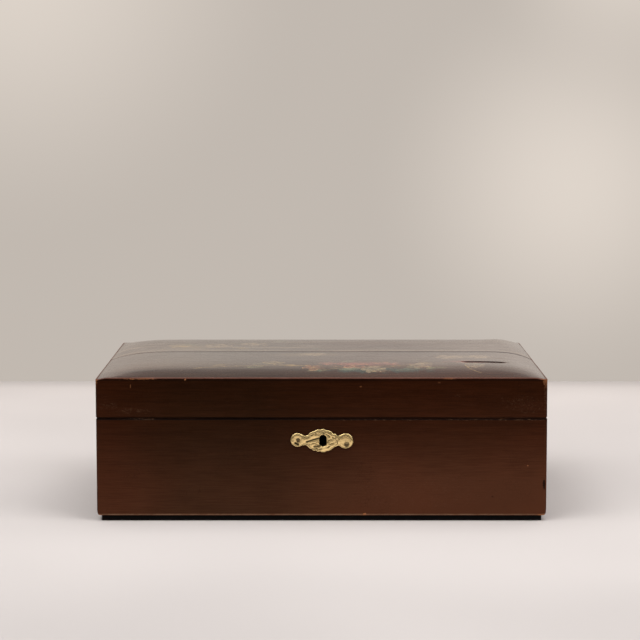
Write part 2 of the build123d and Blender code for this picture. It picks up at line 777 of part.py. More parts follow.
with BuildPart() as escutcheon:
    with BuildSketch(front_face):
        with Locations((0, keyhole_z)):
            add(escutcheon_outline(0))
    extrude(amount=escutcheon_thickness)
    with BuildSketch(front_face.offset(escutcheon_thickness)):
        with Locations((0, keyhole_z)):
            add(escutcheon_outline(0))
            add(escutcheon_outline(escutcheon_rim_width), mode=Mode.SUBTRACT)
        with Locations(keyhole_centre):
            SlotOverall(
                keyhole_height + 2 * escutcheon_rim_width,
                keyhole_width + 2 * escutcheon_rim_width,
                rotation=90,
            )
    extrude(amount=escutcheon_rim_height)
    with BuildSketch(front_face):
        with Locations(keyhole_centre):
            SlotOverall(keyhole_height, keyhole_width, rotation=90)
        with Locations(*pin_places):
            Circle(pin_shank_radius)
    extrude(amount=escutcheon_thickness + escutcheon_rim_height, mode=Mode.SUBTRACT)
escutcheon.part.label = "escutcheon"
export_step(escutcheon.part, "parts/escutcheon.step")

# Two round-headed pins hold the escutcheon
head_sphere_radius = (pin_head_radius**2 + pin_head_height**2) / (2 * pin_head_height)
head_face = front_face.offset(escutcheon_thickness)
with BuildPart() as escutcheon_pins:
    for x, z in pin_places:
        with Locations((x, front_y - escutcheon_thickness - pin_head_height + head_sphere_radius, z)):
            Sphere(head_sphere_radius)
    split(bisect_by=head_face, keep=Keep.TOP)
    with BuildSketch(head_face):
        with Locations(*pin_places):
            Circle(pin_shank_radius)
    extrude(amount=-pin_shank_length)
escutcheon_pins.part.label = "escutcheon_pins"
export_step(escutcheon_pins.part, "parts/escutcheon_pins.step")
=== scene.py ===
"""A lacquered wooden box with a cushion-shaped lid, dressed for its photograph."""

import logging
import math
from collections.abc import Callable, Sequence
from dataclasses import dataclass
from enum import Enum
from functools import reduce
from typing import Any

import bpy
import numpy as np
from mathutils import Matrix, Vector


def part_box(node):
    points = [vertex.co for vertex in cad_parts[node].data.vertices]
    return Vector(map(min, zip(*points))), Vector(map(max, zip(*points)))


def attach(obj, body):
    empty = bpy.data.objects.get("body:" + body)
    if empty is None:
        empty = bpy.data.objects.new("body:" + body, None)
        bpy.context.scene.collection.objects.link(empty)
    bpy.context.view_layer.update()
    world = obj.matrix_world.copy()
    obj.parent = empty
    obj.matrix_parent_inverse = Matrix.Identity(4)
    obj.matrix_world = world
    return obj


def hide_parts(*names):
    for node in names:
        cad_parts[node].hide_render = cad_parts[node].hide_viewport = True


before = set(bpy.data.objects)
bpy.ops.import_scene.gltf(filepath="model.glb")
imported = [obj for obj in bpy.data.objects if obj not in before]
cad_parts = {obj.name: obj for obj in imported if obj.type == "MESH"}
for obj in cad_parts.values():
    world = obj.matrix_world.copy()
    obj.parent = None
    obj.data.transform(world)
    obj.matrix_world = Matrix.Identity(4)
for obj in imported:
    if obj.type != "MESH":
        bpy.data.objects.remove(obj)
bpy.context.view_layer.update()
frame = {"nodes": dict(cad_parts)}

MM = 0.001
log = logging.getLogger("box")

Point = tuple[float, float, float]
Colour = tuple[float, float, float]
Pair = tuple[float, float]


# ---------------------------------------------------------------- numbers and meshes


def linear(red: int, green: int, blue: int) -> Colour:
    """Turns a screen colour into light: c / 12.92 below 0.04045, else ((c + 0.055) / 1.055) ** 2.4.

    Args:
        red: Red, 0 to 255.
        green: Green, 0 to 255.
        blue: Blue, 0 to 255.

    Returns:
        The three linear values.
    """
    shares = np.array([red, green, blue]) / 255
    light = np.where(shares <= 0.04045, shares / 12.92, ((shares + 0.055) / 1.055) ** 2.4)
    return tuple(float(value) for value in light)


def smoothstep(low: float, high: float, values: np.ndarray) -> np.ndarray:
    """Rises from 0 at low to 1 at high as t * t * (3 - 2 * t).

    Args:
        low: Where the rise starts.
        high: Where it ends.
        values: The values to turn into shares.

    Returns:
        The shares, 0 to 1.
    """
    share = np.clip((values - low) / (high - low), 0, 1)
    return share * share * (3 - 2 * share)


def graded(start: float, end: float, coarse: float, fine: float, margin: float) -> np.ndarray:
    """Places between two ends, close together near the ends.

    The step grows from fine at an end to coarse at margin from it, and the places are where the running total of
    1 / step passes a whole number.

    Args:
        start: First place.
        end: Last place.
        coarse: Step in the middle.
        fine: Step at the ends.
        margin: How far from an end the step reaches coarse.

    Returns:
        The places in order, both ends among them.
    """
    line = np.linspace(start, end, 6000)
    near = np.minimum(line - start, end - line)
    step = fine + (coarse - fine) * np.clip(near / margin, 0, 1)
    total = np.concatenate([[0], np.cumsum(np.diff(line) * 2 / (step[1:] + step[:-1]))])
    count = int(np.ceil(total[-1]))
    return np.interp(np.linspace(0, total[-1], count + 1), total, line)


def cloudiness(points: np.ndarray, cell: float, seed: int) -> np.ndarray:
    """Smooth noise in space: each cell corner gets a fixed number, blended across the cell by smoothstep.

    Args:
        points: Places, n by 3, in mm.
        cell: Size of a cell in mm.
        seed: Picks the set of numbers.

    Returns:
        One value a place, 0 to 1.
    """
    scaled = points / cell + 91.7
    whole = np.floor(scaled).astype(np.int64)
    part = scaled - whole
    part = part * part * (3 - 2 * part)
    result = np.zeros(len(points))
    for corner in range(8):
        step = np.array([corner & 1, corner >> 1 & 1, corner >> 2 & 1])
        spot = whole + step
        mixed = spot[:, 0] * 374761393 + spot[:, 1] * 668265263 + spot[:, 2] * 2147483647 + seed * 974711
        mixed = (mixed ^ (mixed >> 13)) * 1274126177 & 0xFFFFFFFF
        weight = np.prod(np.where(step == 1, part, 1 - part), axis=1)
        result += weight * ((mixed >> 7) & 0xFFFF) / 0xFFFF
    return result


def mesh_object(name: str, points: np.ndarray, faces: list[list[int]], sharp: float = 38) -> bpy.types.Object:
    """Makes an object at the origin from points in mm, with smooth faces and sharp edges past an angle.

    Args:
        name: The piece's name.
        points: Places in mm, n by 3.
        faces: Each face's point numbers, anticlockwise from outside.
        sharp: Angle in degrees past which an edge is sharp.

    Returns:
        The new object, linked to the scene.
    """
    mesh = bpy.data.meshes.new(name)
    mesh.from_pydata((points * MM).tolist(), [], faces)
    mesh.polygons.foreach_set("use_smooth", np.ones(len(mesh.polygons), bool))
    mesh.update()
    mesh.set_sharp_from_angle(angle=math.radians(sharp))
    made = bpy.data.objects.new(name, mesh)
    bpy.context.scene.collection.objects.link(made)
    return made


def give_values(made: bpy.types.Object, name: str, values: np.ndarray) -> None:
    """Stores one number a point in a named attribute.

    Args:
        made: The object.
        name: The attribute's name.
        values: One number for each point.
    """
    layer = made.data.attributes.new(name, "FLOAT", "POINT")
    layer.data.foreach_set("value", np.asarray(values, np.float32))


def block(name: str, low: Sequence[float], high: Sequence[float]) -> bpy.types.Object:
    """A box-shaped cutter between two corners in mm.

    Args:
        name: Its name.
        low: Lowest corner.
        high: Highest corner.

    Returns:
        The cutter.
    """
    pick = np.array([[i & 1, i >> 1 & 1, i >> 2 & 1] for i in range(8)])
    points = np.where(pick == 1, np.array(high, float), np.array(low, float))
    faces = [[0, 2, 3, 1], [4, 5, 7, 6], [0, 1, 5, 4], [2, 6, 7, 3], [0, 4, 6, 2], [1, 3, 7, 5]]
    return mesh_object(name, points, faces)


def prism(name: str, outline: np.ndarray, near: float, far: float) -> bpy.types.Object:
    """A cutter with an outline in X and Z, carried from one depth to another.

    Args:
        name: Its name.
        outline: The outline in mm, n by 2, anticlockwise as seen from the front.
        near: Depth of its front face.
        far: Depth of its rear face.

    Returns:
        The cutter.
    """
    count = len(outline)
    rows = [np.column_stack([outline[:, 0], np.full(count, depth), outline[:, 1]]) for depth in (near, far)]
    ring = np.arange(count)
    after = (ring + 1) % count
    sides = np.column_stack([ring, ring + count, after + count, after]).tolist()
    return mesh_object(name, np.vstack(rows), [ring.tolist(), (ring[::-1] + count).tolist(), *sides])


def carve(made: bpy.types.Object, cutters: Sequence[bpy.types.Object]) -> None:
    """Cuts away the cutters from a closed piece, and keeps the result in the piece's own mesh.

    Args:
        made: The piece.
        cutters: What is cut away. They are removed afterwards.
    """
    for cutter in cutters:
        modifier = made.modifiers.new(cutter.name, "BOOLEAN")
        modifier.object, modifier.operation, modifier.solver = cutter, "DIFFERENCE", "EXACT"
    graph = bpy.context.evaluated_depsgraph_get()
    mesh = bpy.data.meshes.new_from_object(made.evaluated_get(graph), preserve_all_data_layers=True, depsgraph=graph)
    made.modifiers.clear()
    old, made.data = made.data, mesh
    name = old.name
    bpy.data.meshes.remove(old)
    mesh.name = name
    for cutter in cutters:
        spare = cutter.data
        bpy.data.objects.remove(cutter)
        bpy.data.meshes.remove(spare)


# ---------------------------------------------------------------- sizes, in mm, in the CAD's frame


@dataclass(frozen=True)
class Heights:
    """Heights of the box's levels above the table, in mm."""

    bottom: float = 4.2
    rim: float = 76.2
    lid: float = 76.7
    ceiling: float = 100.0
    arris: float = 105.2
    dome: float = 7.3


@dataclass(frozen=True)
class Plan:
    """The box from above, in mm."""

    half: float = 165.0
    front: float = -112.75
    back: float = 109.25
    wall: float = 12.0
    corner: float = 2.0
    shoulder: float = 74.0
    joint: float = -6.75


Z = Heights()
P = Plan()

# The middle of the keyhole.
KEYHOLE_X = 1.0
KEYHOLE_Z = 60.0
# Room round the hardware in its cuts, and the thickness of the plates that are let in.
PLAY = 0.12
LEAF = 1.5
# Where the plain ring of a rim lies between its inner edge and its outer one.
LANE = 0.86
# How far the middle of a face may be off the plane that it belongs to.
SLACK = 0.05
# Depth of the marks on the front, and how far they reach into it.
FRONT = -112.7
DEEP = 2.0


@dataclass(frozen=True)
class Scar:
    """A worn stretch of an edge: its middle, its half length and how strong it is."""

    place: Point
    reach: Point
    depth: float


def worn(points: np.ndarray, scars: Sequence[Scar]) -> np.ndarray:
    """Adds the scars up: each one gives depth * exp(-|(p - place) / reach| ** 2).

    Args:
        points: Places in mm.
        scars: The worn stretches.

    Returns:
        How worn each place is, 0 to about 1.
    """
    total = np.zeros(len(points))
    for scar in scars:
        away = (points - np.array(scar.place)) / np.array(scar.reach)
        total = np.maximum(total, scar.depth * np.exp(-np.sum(away * away, axis=1)))
    return total


@dataclass
class Sheet:
    """A rectangular grid over the box's plan, whose border is the box's outline with rounded corners."""

    left: float
    right: float
    front: float
    back: float
    corner: float
    columns: np.ndarray
    rows: np.ndarray

    def rounded(self, across: np.ndarray, along: np.ndarray) -> tuple[np.ndarray, np.ndarray, np.ndarray, np.ndarray]:
        """Moves the square corners of the grid onto quarter circles.

        In a corner's cell with shares a and b of the radius, the point goes to a * sqrt(1 - b * b / 2) and
        b * sqrt(1 - a * a / 2). The way outwards is the share of that place.

        Args:
            across: X of the grid's points.
            along: Y of the grid's points.

        Returns:
            X, Y, and the outward direction's X and Y.
        """
        centre_x = np.clip(across, self.left + self.corner, self.right - self.corner)
        centre_y = np.clip(along, self.front + self.corner, self.back - self.corner)
        a, b = (across - centre_x) / self.corner, (along - centre_y) / self.corner
        round_a, round_b = a * np.sqrt(1 - b * b / 2), b * np.sqrt(1 - a * a / 2)
        size = np.maximum(np.hypot(round_a, round_b), 1e-9)
        return centre_x + round_a * self.corner, centre_y + round_b * self.corner, round_a / size, round_b / size

    def ring(self) -> tuple[np.ndarray, np.ndarray, np.ndarray]:
        """The border's points, anticlockwise from above.

        Returns:
            The square places, the rounded places and the outward directions, each n by 2.
        """
        x, y = self.columns, self.rows
        square = np.vstack([
            np.column_stack([x[:-1], np.full(len(x) - 1, y[0])]),
            np.column_stack([np.full(len(y) - 1, x[-1]), y[:-1]]),
            np.column_stack([x[:0:-1], np.full(len(x) - 1, y[-1])]),
            np.column_stack([np.full(len(y) - 1, x[0]), y[:0:-1]]),
        ])
        px, py, nx, ny = self.rounded(square[:, 0], square[:, 1])
        return square, np.column_stack([px, py]), np.column_stack([nx, ny])

    def ring_numbers(self) -> np.ndarray:
        """The grid's point numbers along its border, in the order of ring()."""
        nx, ny = len(self.columns), len(self.rows)
        grid = np.arange(nx * ny).reshape(ny, nx)
        return np.concatenate([grid[0, :-1], grid[:-1, -1], grid[-1, :0:-1], grid[:0:-1, 0]])

    def faces(self) -> np.ndarray:
        """The grid's faces, anticlockwise from above."""
        nx, ny = len(self.columns), len(self.rows)
        grid = np.arange(nx * ny).reshape(ny, nx)
        return np.stack([grid[:-1, :-1], grid[:-1, 1:], grid[1:, 1:], grid[1:, :-1]], axis=-1).reshape(-1, 4)


def inner_corners() -> tuple[np.ndarray, np.ndarray]:
    """The lowest and the highest corner of the walls' inner rectangle, from above."""
    return np.array([-P.half + P.wall, P.front + P.wall]), np.array([P.half - P.wall, P.back - P.wall])


def inner_ring(sheet: Sheet, square: np.ndarray) -> np.ndarray:
    """The same ring on the walls' inner faces: each square place scaled to the inner rectangle.

    Args:
        sheet: The outer grid.
        square: The ring's square places.

    Returns:
        The inner places, n by 2.
    """
    low, high = inner_corners()
    outer_low, outer_high = np.array([sheet.left, sheet.front]), np.array([sheet.right, sheet.back])
    return low + (square - outer_low) / (outer_high - outer_low) * (high - low)


def strips(rings: Sequence[np.ndarray], closed: bool) -> np.ndarray:
    """Faces between rings of point numbers, each ring joined to the one after it.

    Args:
        rings: Point numbers of each ring, from the outside's bottom upwards.
        closed: Whether the last ring joins the first.

    Returns:
        The faces, n by 4.
    """
    made = []
    pairs = list(zip(rings, rings[1:])) + ([(rings[-1], rings[0])] if closed else [])
    for low, high in pairs:
        made.append(np.column_stack([low, np.roll(low, -1), np.roll(high, -1), high]))
    return np.vstack(made)


def arc_steps(radius: float, count: int) -> tuple[np.ndarray, np.ndarray]:
    """Points of a quarter round from the side face to the level face.

    Inset is radius * (1 - cos t) and rise is radius * sin t, for t from 0 to 90 degrees.

    Args:
        radius: The round's radius.
        count: How many steps.

    Returns:
        Insets and rises.
    """
    turn = np.linspace(0, math.pi / 2, count + 1)
    return radius * (1 - np.cos(turn)), radius * np.sin(turn)


# ---------------------------------------------------------------- shader trees


def times(colour: Sequence[float], share: float) -> Colour:
    """A colour made lighter or darker by a share."""
    return tuple(share * part for part in colour)


def operator(kind: str, swapped: bool = False) -> Callable[["Wire", Any], "Wire"]:
    """Makes an arithmetic method of a wire.

    Args:
        kind: The maths node's operation.
        swapped: Whether the wire is the second value.

    Returns:
        The method, which adds one node: Math for numbers, Vector Math for places and colours.
    """

    def method(wire: "Wire", other: Any) -> "Wire":
        """Adds the node."""
        add = wire.tree.math if wire.socket.type == "VALUE" else wire.tree.vector
        return add(kind, other, wire) if swapped else add(kind, wire, other)

    return method


class Wire:
    """A value in a shader tree, on which arithmetic adds nodes."""

    def __init__(self, tree: "Tree", socket: bpy.types.NodeSocket) -> None:
        """Keeps the tree and the socket that gives the value."""
        self.tree, self.socket = tree, socket

    def __abs__(self) -> "Wire":
        """The value without its sign."""
        return self.tree.math("ABSOLUTE", self)

    __add__, __radd__ = operator("ADD"), operator("ADD", True)
    __sub__, __rsub__ = operator("SUBTRACT"), operator("SUBTRACT", True)
    __mul__, __rmul__ = operator("MULTIPLY"), operator("MULTIPLY", True)
    __truediv__, __pow__ = operator("DIVIDE"), operator("POWER")


class Tree:
    """Builds a shader tree with short calls. Places are in mm."""

    def __init__(self, tree: bpy.types.NodeTree) -> None:
        """Keeps the tree that the calls add to."""
        self.tree = tree
        self._place: Wire | None = None

    def add(self, kind: str, **settings: Any) -> bpy.types.Node:
        """Adds a node and sets its properties."""
        node = self.tree.nodes.new(kind)
        for name, value in settings.items():
            setattr(node, name, value)
        return node

    def put(self, socket: Any, value: Any) -> None:
        """Links a socket to another, or sets its own value."""
        value = value.socket if isinstance(value, Wire) else value
        if isinstance(value, bpy.types.NodeSocket):
            self.tree.links.new(value, socket)
        elif isinstance(value, tuple) and socket.type == "RGBA" and len(value) == 3:
            socket.default_value = (*value, 1)
        else:
            socket.default_value = value

    def fill(self, node: bpy.types.Node, sockets: Sequence[Any], values: Sequence[Any], out: Any = 0) -> Wire:
        """Fills some of a node's inputs and gives one of its outputs.

        Args:
            node: The node.
            sockets: The inputs' names or numbers.
            values: Their values, which may be wires.
            out: The output's name or number.

        Returns:
            The output.
        """
        for socket, value in zip(sockets, values):
            self.put(node.inputs[socket], value)
        return Wire(self, node.outputs[out])

    def place(self) -> Wire:
        """The Object coordinate in mm."""
        if self._place is None:
            coordinate = self.add("ShaderNodeTexCoord").outputs["Object"]
            self._place = self.scaled(coordinate, 1000.0)
        return self._place

    def value(self, name: str) -> Wire:
        """A number kept on the mesh under a name."""
        return Wire(self, self.add("ShaderNodeAttribute", attribute_name=name).outputs["Fac"])

    def math(self, kind: str, *values: Any, clamp: bool = False) -> Wire:
        """One Math node."""
        return self.fill(self.add("ShaderNodeMath", operation=kind, use_clamp=clamp), range(3), values)

    def vector(self, kind: str, *values: Any) -> Wire:
        """One Vector Math node of vectors that gives a vector."""
        return self.fill(self.add("ShaderNodeVectorMath", operation=kind), range(3), values)

    def scaled(self, vector: Any, scale: Any) -> Wire:
        """A vector times a number."""
        return self.fill(self.add("ShaderNodeVectorMath", operation="SCALE"), ("Vector", "Scale"), (vector, scale))

    def length(self, vector: Any) -> Wire:
        """How long a vector is."""
        return self.fill(self.add("ShaderNodeVectorMath", operation="LENGTH"), (0,), (vector,), "Value")

    def most(self, *values: Any) -> Any:
        """The largest of some numbers."""
        return reduce(lambda first, second: self.math("MAXIMUM", first, second), values)

    def split(self, vector: Any) -> list[Wire]:
        """The three numbers of a vector."""
        node = self.add("ShaderNodeSeparateXYZ")
        self.put(node.inputs[0], vector)
        return [Wire(self, socket) for socket in node.outputs]

    def span(self, value: Any, low: float, high: float, start: float = 0.0, end: float = 1.0) -> Wire:
        """Turns low to high into start to end, with a soft rise, and holds it there."""
        node = self.add("ShaderNodeMapRange", interpolation_type="SMOOTHSTEP")
        return self.fill(node, ("Value", "From Min", "From Max", "To Min", "To Max"), (value, low, high, start, end))

    def fall(self, value: Any, low: float, high: float) -> Wire:
        """Turns low to high into 1 to 0."""
        return self.span(value, low, high, 1.0, 0.0)

    def blend(self, share: Any, first: Any, second: Any) -> Wire:
        """Mixes two colours."""
        return self.fill(self.add("ShaderNodeMix", data_type="RGBA"), ("Factor", 6, 7), (share, first, second), 2)

    def noise(self, vector: Any, scale: float, detail: float, rough: float, bend: float = 0.0) -> Wire:
        """Noise of a vector, 0 to 1."""
        names = ("Vector", "Scale", "Detail", "Roughness", "Distortion")
        return self.fill(self.add("ShaderNodeTexNoise"), names, (vector, scale, detail, rough, bend))

    def use(self, group: bpy.types.NodeTree, *values: Any) -> list[Wire]:
        """Places a group with its inputs in order, and gives its outputs in order."""
        node = self.add("ShaderNodeGroup", node_tree=group)
        for socket, value in zip(node.inputs, values, strict=True):
            self.put(socket, value)
        return [Wire(self, socket) for socket in node.outputs]

    def bump(self, height: Any, depth: float, strength: float, normal: Wire | None = None) -> Wire:
        """A bumped normal from a height of 0 to 1 and its depth in mm."""
        names, values = ["Height", "Distance", "Strength"], [height, depth * MM, strength]
        if normal is not None:
            names, values = [*names, "Normal"], [*values, normal]
        return self.fill(self.add("ShaderNodeBump"), names, values)


class Group(Tree):
    """A shader group in the making. Its inputs are given in order, the vectors first."""

    def __init__(self, name: str, vectors: str, numbers: str = "") -> None:
        """Starts the group.

        Args:
            name: The group's name.
            vectors: Names of its vector inputs, with spaces between them.
            numbers: Names of its number inputs.
        """
        super().__init__(bpy.data.node_groups.new(name, "ShaderNodeTree"))
        for labels, kind in ((vectors, "NodeSocketVector"), (numbers, "NodeSocketFloat")):
            for label in labels.split():
                self.tree.interface.new_socket(label, in_out="INPUT", socket_type=kind)
        self.given = [Wire(self, socket) for socket in self.add("NodeGroupInput").outputs if socket.name]

    def done(self, **results: Wire) -> bpy.types.NodeTree:
        """Gives the group its outputs.

        Args:
            results: The outputs' names and values.

        Returns:
            The finished group.
        """
        for label in results:
            self.tree.interface.new_socket(label, in_out="OUTPUT", socket_type="NodeSocketFloat")
        end = self.add("NodeGroupOutput")
        for label, value in results.items():
            self.put(end.inputs[label], value)
        return self.tree


class Effects:
    """The shader groups that several finishes share, each built once."""

    def __init__(self) -> None:
        """Builds every group."""
        self.grain = self._grain()
        self.edge = self._edge()
        self.mark = self._mark()
        self.scratch = self._scratch()
        self.crackle = self._crackle()
        self.blossom = self._blossom()
        self.leaf = self._leaf()
        self.stem = self._stem()
        self.wash = self._wash()
        self.tarnish = self._tarnish()

    def _grain(self) -> bpy.types.NodeTree:
        """Streaks along one direction: noise of the place times a stretch that is small along the grain."""
        tree = Group("wood streaks", "Place Stretch")
        place = tree.given[0] * tree.given[1]
        broad = tree.noise(place, 0.35, 3.0, 0.5, 0.3)
        fine = tree.span(tree.noise(place, 1.6, 4.0, 0.65), 0.3, 0.7)
        return tree.done(Broad=broad, Fine=fine, Pore=tree.span(tree.noise(place, 4.5, 2.0, 0.6), 0.56, 0.72))

    def _edge(self) -> bpy.types.NodeTree:
        """Wear on edges: nearness to the edge times how worn it is, broken up by noise at two sizes."""
        tree = Group("edge wear", "Place", "Near Worn")
        place, near, wear = tree.given
        both = tree.noise(place, 0.9, 5.0, 0.7) * 0.62 + tree.noise(place, 0.12, 2.0, 0.5) * 0.38
        total = near * (0.3 + wear * 0.75) + both
        return tree.done(Bare=tree.span(total, 1.16, 1.3), Rubbed=tree.span(total, 0.66, 1.1))

    def _mark(self) -> bpy.types.NodeTree:
        """A chip or rub: 1 inside |(place - middle) / reach| < 1, its rim broken up by noise."""
        tree = Group("mark", "Place Middle Reach", "Ragged")
        place, middle, reach, ragged = tree.given
        size = tree.length((place - middle) / reach) + (tree.noise(place, 1.3, 4.0, 0.7) - 0.5) * ragged * 2.6
        return tree.done(Mask=tree.fall(size, 0.85, 1.15))

    def _scratch(self) -> bpy.types.NodeTree:
        """Thin scratches: where stretched noise crosses its middle value, thinned out by a second noise."""
        tree = Group("scratches", "Place Stretch", "Spread")
        place, stretch, spread = tree.given
        line = tree.fall(abs(tree.noise(place * stretch, 1.0, 1.0, 0.4, 0.6) - 0.5), 0.0, 0.012)
        return tree.done(Mask=line * tree.span(tree.noise(place, 0.09, 2.0, 0.5) + spread, 0.95, 1.1))

    def _crackle(self) -> bpy.types.NodeTree:
        """Age cracks in the lacquer: near the borders of Voronoi cells, and only in patches."""
        tree = Group("crackle", "Place", "Amount")
        place, amount = tree.given
        cells = tree.add("ShaderNodeTexVoronoi", feature="DISTANCE_TO_EDGE")
        line = tree.fall(tree.fill(cells, ("Vector", "Scale"), (place, 0.32), "Distance"), 0.0, 0.05)
        return tree.done(Mask=line * tree.span(tree.noise(place, 0.05, 2.0, 0.5) + amount, 0.9, 1.15))

    def _local(self, tree: Group) -> tuple[Wire, Wire]:
        """The place on the lid's top, seen from a middle and turned: x' and y' in mm."""
        x, y, middle_x, middle_y, turn = tree.given[:5]
        right, rear = x - middle_x, y - middle_y
        cos, sin = tree.math("COSINE", turn), tree.math("SINE", turn)
        return right * cos + rear * sin, rear * cos - right * sin

    def _blossom(self) -> bpy.types.NodeTree:
        """A flower: inside radius * (0.62 + 0.38 * |cos(petals * angle / 2)| ** 0.7). Half in petals, 1 on lines."""
        tree = Group("blossom", "", "X Y MiddleX MiddleY Turn Radius Petals")
        along, across = self._local(tree)
        radius, petals = tree.given[5:]
        size = tree.math("SQRT", along * along + across * across) / radius
        angle = tree.math("ARCTAN2", across, along) * (petals * 0.5)
        wave = abs(tree.math("COSINE", angle))
        rim = 0.62 + wave ** 0.7 * 0.38
        inside = tree.span(rim - size, -0.02, 0.06)
        heart = tree.fall(size, 0.16, 0.24)
        rays = tree.fall(abs(tree.math("COSINE", angle * 5.0)), 0.0, 0.4)
        rays = rays * tree.span(size, 0.2, 0.6, 0.9, 0.35)
        outline = tree.fall(abs(rim - 0.05 - size), 0.03, 0.1)
        lines = tree.most(outline, rays, tree.fall(wave, 0.0, 0.3), heart)
        return tree.done(Mask=inside * (0.5 + lines * 0.5))

    def _leaf(self) -> bpy.types.NodeTree:
        """A leaf: |across| < width * (1 - (2 * along / length - 1) ** 2) ** 1.2. Half in the blade, 1 on its veins."""
        tree = Group("leaf", "", "X Y MiddleX MiddleY Turn Length Width")
        along, across = self._local(tree)
        length, width = tree.given[5:]
        share = along / length * 2.0 - 1.0
        square = share * share
        room = tree.most(1.0 - square, 0.0) ** 1.2 * width
        across = abs(across + square * 0.8)
        blade = tree.span(room - across, 0.0, 0.35)
        comb = tree.span(abs(tree.math("SINE", (along - across * 1.3) * 1.35)), 0.0, 0.5, 0.8, 0.0)
        outline = tree.fall(abs(room - 0.25 - across), 0.12, 0.4)
        lines = tree.most(comb, outline, tree.fall(across, 0.1, 0.35))
        return tree.done(Mask=blade * (0.5 + lines * 0.5))

    def _stem(self) -> bpy.types.NodeTree:
        """A thin curved stem: |across - bow * (1 - (2 * along / length - 1) ** 2)| < width, from 0 to its length."""
        tree = Group("stem", "", "X Y MiddleX MiddleY Turn Length Bow Width")
        along, across = self._local(tree)
        length, bow, width = tree.given[5:]
        share = along / length * 2.0 - 1.0
        square = share * share
        inside = tree.span(width - abs(across - bow * (1.0 - square)), 0.0, 0.35)
        return tree.done(Mask=inside * tree.fall(square, 0.95, 1.0))

    def _wash(self) -> bpy.types.NodeTree:
        """A soft patch of thin paint: 1 where |(place - middle) / reach| + 0.9 * (0.5 - noise) < 0.45, 0 past 1.15."""
        tree = Group("wash", "", "X Y MiddleX MiddleY ReachX ReachY Noise")
        x, y, middle_x, middle_y, reach_x, reach_y, noise = tree.given
        across, along = (x - middle_x) / reach_x, (y - middle_y) / reach_y
        total = tree.math("SQRT", across * across + along * along) + (0.5 - noise) * 0.9
        return tree.done(Mask=tree.fall(total, 0.45, 1.15))

    def _tarnish(self) -> bpy.types.NodeTree:
        """Tarnish on metal: soft clouds, stronger in hollows, small spots, and a fine relief."""
        tree = Group("tarnish", "Place", "Hollow Amount")
        place, hollow, amount = tree.given
        cloud = tree.span(tree.noise(place, 0.28, 4.0, 0.6) + hollow * 0.55 + amount, 0.85, 1.35)
        spot = tree.span(tree.noise(place, 1.7, 3.0, 0.7) + amount * 0.1, 0.62, 0.74)
        return tree.done(Cloud=cloud, Spot=spot, Height=tree.noise(place, 2.6, 4.0, 0.65))


# ---------------------------------------------------------------- finishes

# How the grain is stretched: along the length, and along all four walls.
BOARDS = (0.03, 1.0, 1.0)
WALLS = (0.035, 0.035, 1.0)


def new_material(name: str) -> tuple[bpy.types.Material, Tree, bpy.types.Node]:
    """Starts a material with one Principled shader.

    Args:
        name: The material's name.

    Returns:
        The material, its tree and the shader.
    """
    made = bpy.data.materials.new(name)
    made.use_nodes = True
    made.node_tree.nodes.clear()
    tree = Tree(made.node_tree)
    shader = tree.add("ShaderNodeBsdfPrincipled")
    tree.put(tree.add("ShaderNodeOutputMaterial").inputs["Surface"], shader.outputs[0])
    return made, tree, shader


def keyhole_shade(tree: Tree, place: Wire) -> Wire:
    """Painted shade in the keyhole: 1 within 5 mm of its axis, 0 beyond 6 mm, and only near the front."""
    away = (place - (KEYHOLE_X, P.front, KEYHOLE_Z)) * (1.0, 0.15, 1.0)
    return tree.fall(tree.length(away), 5.0, 6.0)


class Hurt(Enum):
    """What a small mark is: a chip to bare wood, a rubbed patch of fine dashes, or a dark dent."""

    CHIP = "chip"
    RUB = "rub"
    DENT = "dent"


@dataclass(frozen=True)
class Spot:
    """A small mark on a lacquered face: its middle, its half sizes, its kind and its strength."""

    middle: Point
    reach: Point
    kind: Hurt = Hurt.CHIP
    strength: float = 0.9
    ragged: float = 0.7


def on_front(x: float, z: float, wide: float, high: float, *rest: Any) -> Spot:
    """A mark on the front, given by its middle and its half sizes there, and then as a spot is."""
    return Spot((x, FRONT, z), (wide, DEEP, high), *rest)


CASE_SPOTS = (
    on_front(150.9, 41.2, 0.7, 0.5, Hurt.CHIP, 0.6),
    on_front(163.0, 27.5, 0.9, 3.4, Hurt.DENT, 0.9, 1.0),
    on_front(125.2, 18.4, 0.8, 0.6, Hurt.DENT, 0.4),
    on_front(31.6, 5.6, 1.0, 0.6),
    on_front(-132.0, 75.6, 13.0, 0.55, Hurt.RUB, 1.0, 1.0),
    on_front(80.0, 75.2, 90.0, 0.5, Hurt.RUB, 0.5, 1.0),
    on_front(146.0, 75.2, 22.0, 0.5, Hurt.RUB, 0.6, 1.0),
    on_front(70.0, 22.0, 46.0, 13.0, Hurt.RUB, 0.1, 1.0),
    Spot((164.9, 62.0, 41.0), (2.0, 1.4, 0.9)),
    Spot((164.9, -20.0, 58.0), (2.0, 34.0, 6.0), Hurt.RUB, 0.22, 1.0),
    Spot((-164.9, -70.0, 30.0), (2.0, 1.2, 0.8)),
    Spot((-164.9, 30.0, 50.0), (2.0, 40.0, 7.0), Hurt.RUB, 0.2, 1.0),
    Spot((40.0, 109.2, 33.0), (1.4, 2.0, 0.9)),
    Spot((-30.0, 109.2, 52.0), (60.0, 2.0, 8.0), Hurt.RUB, 0.18, 1.0),
)

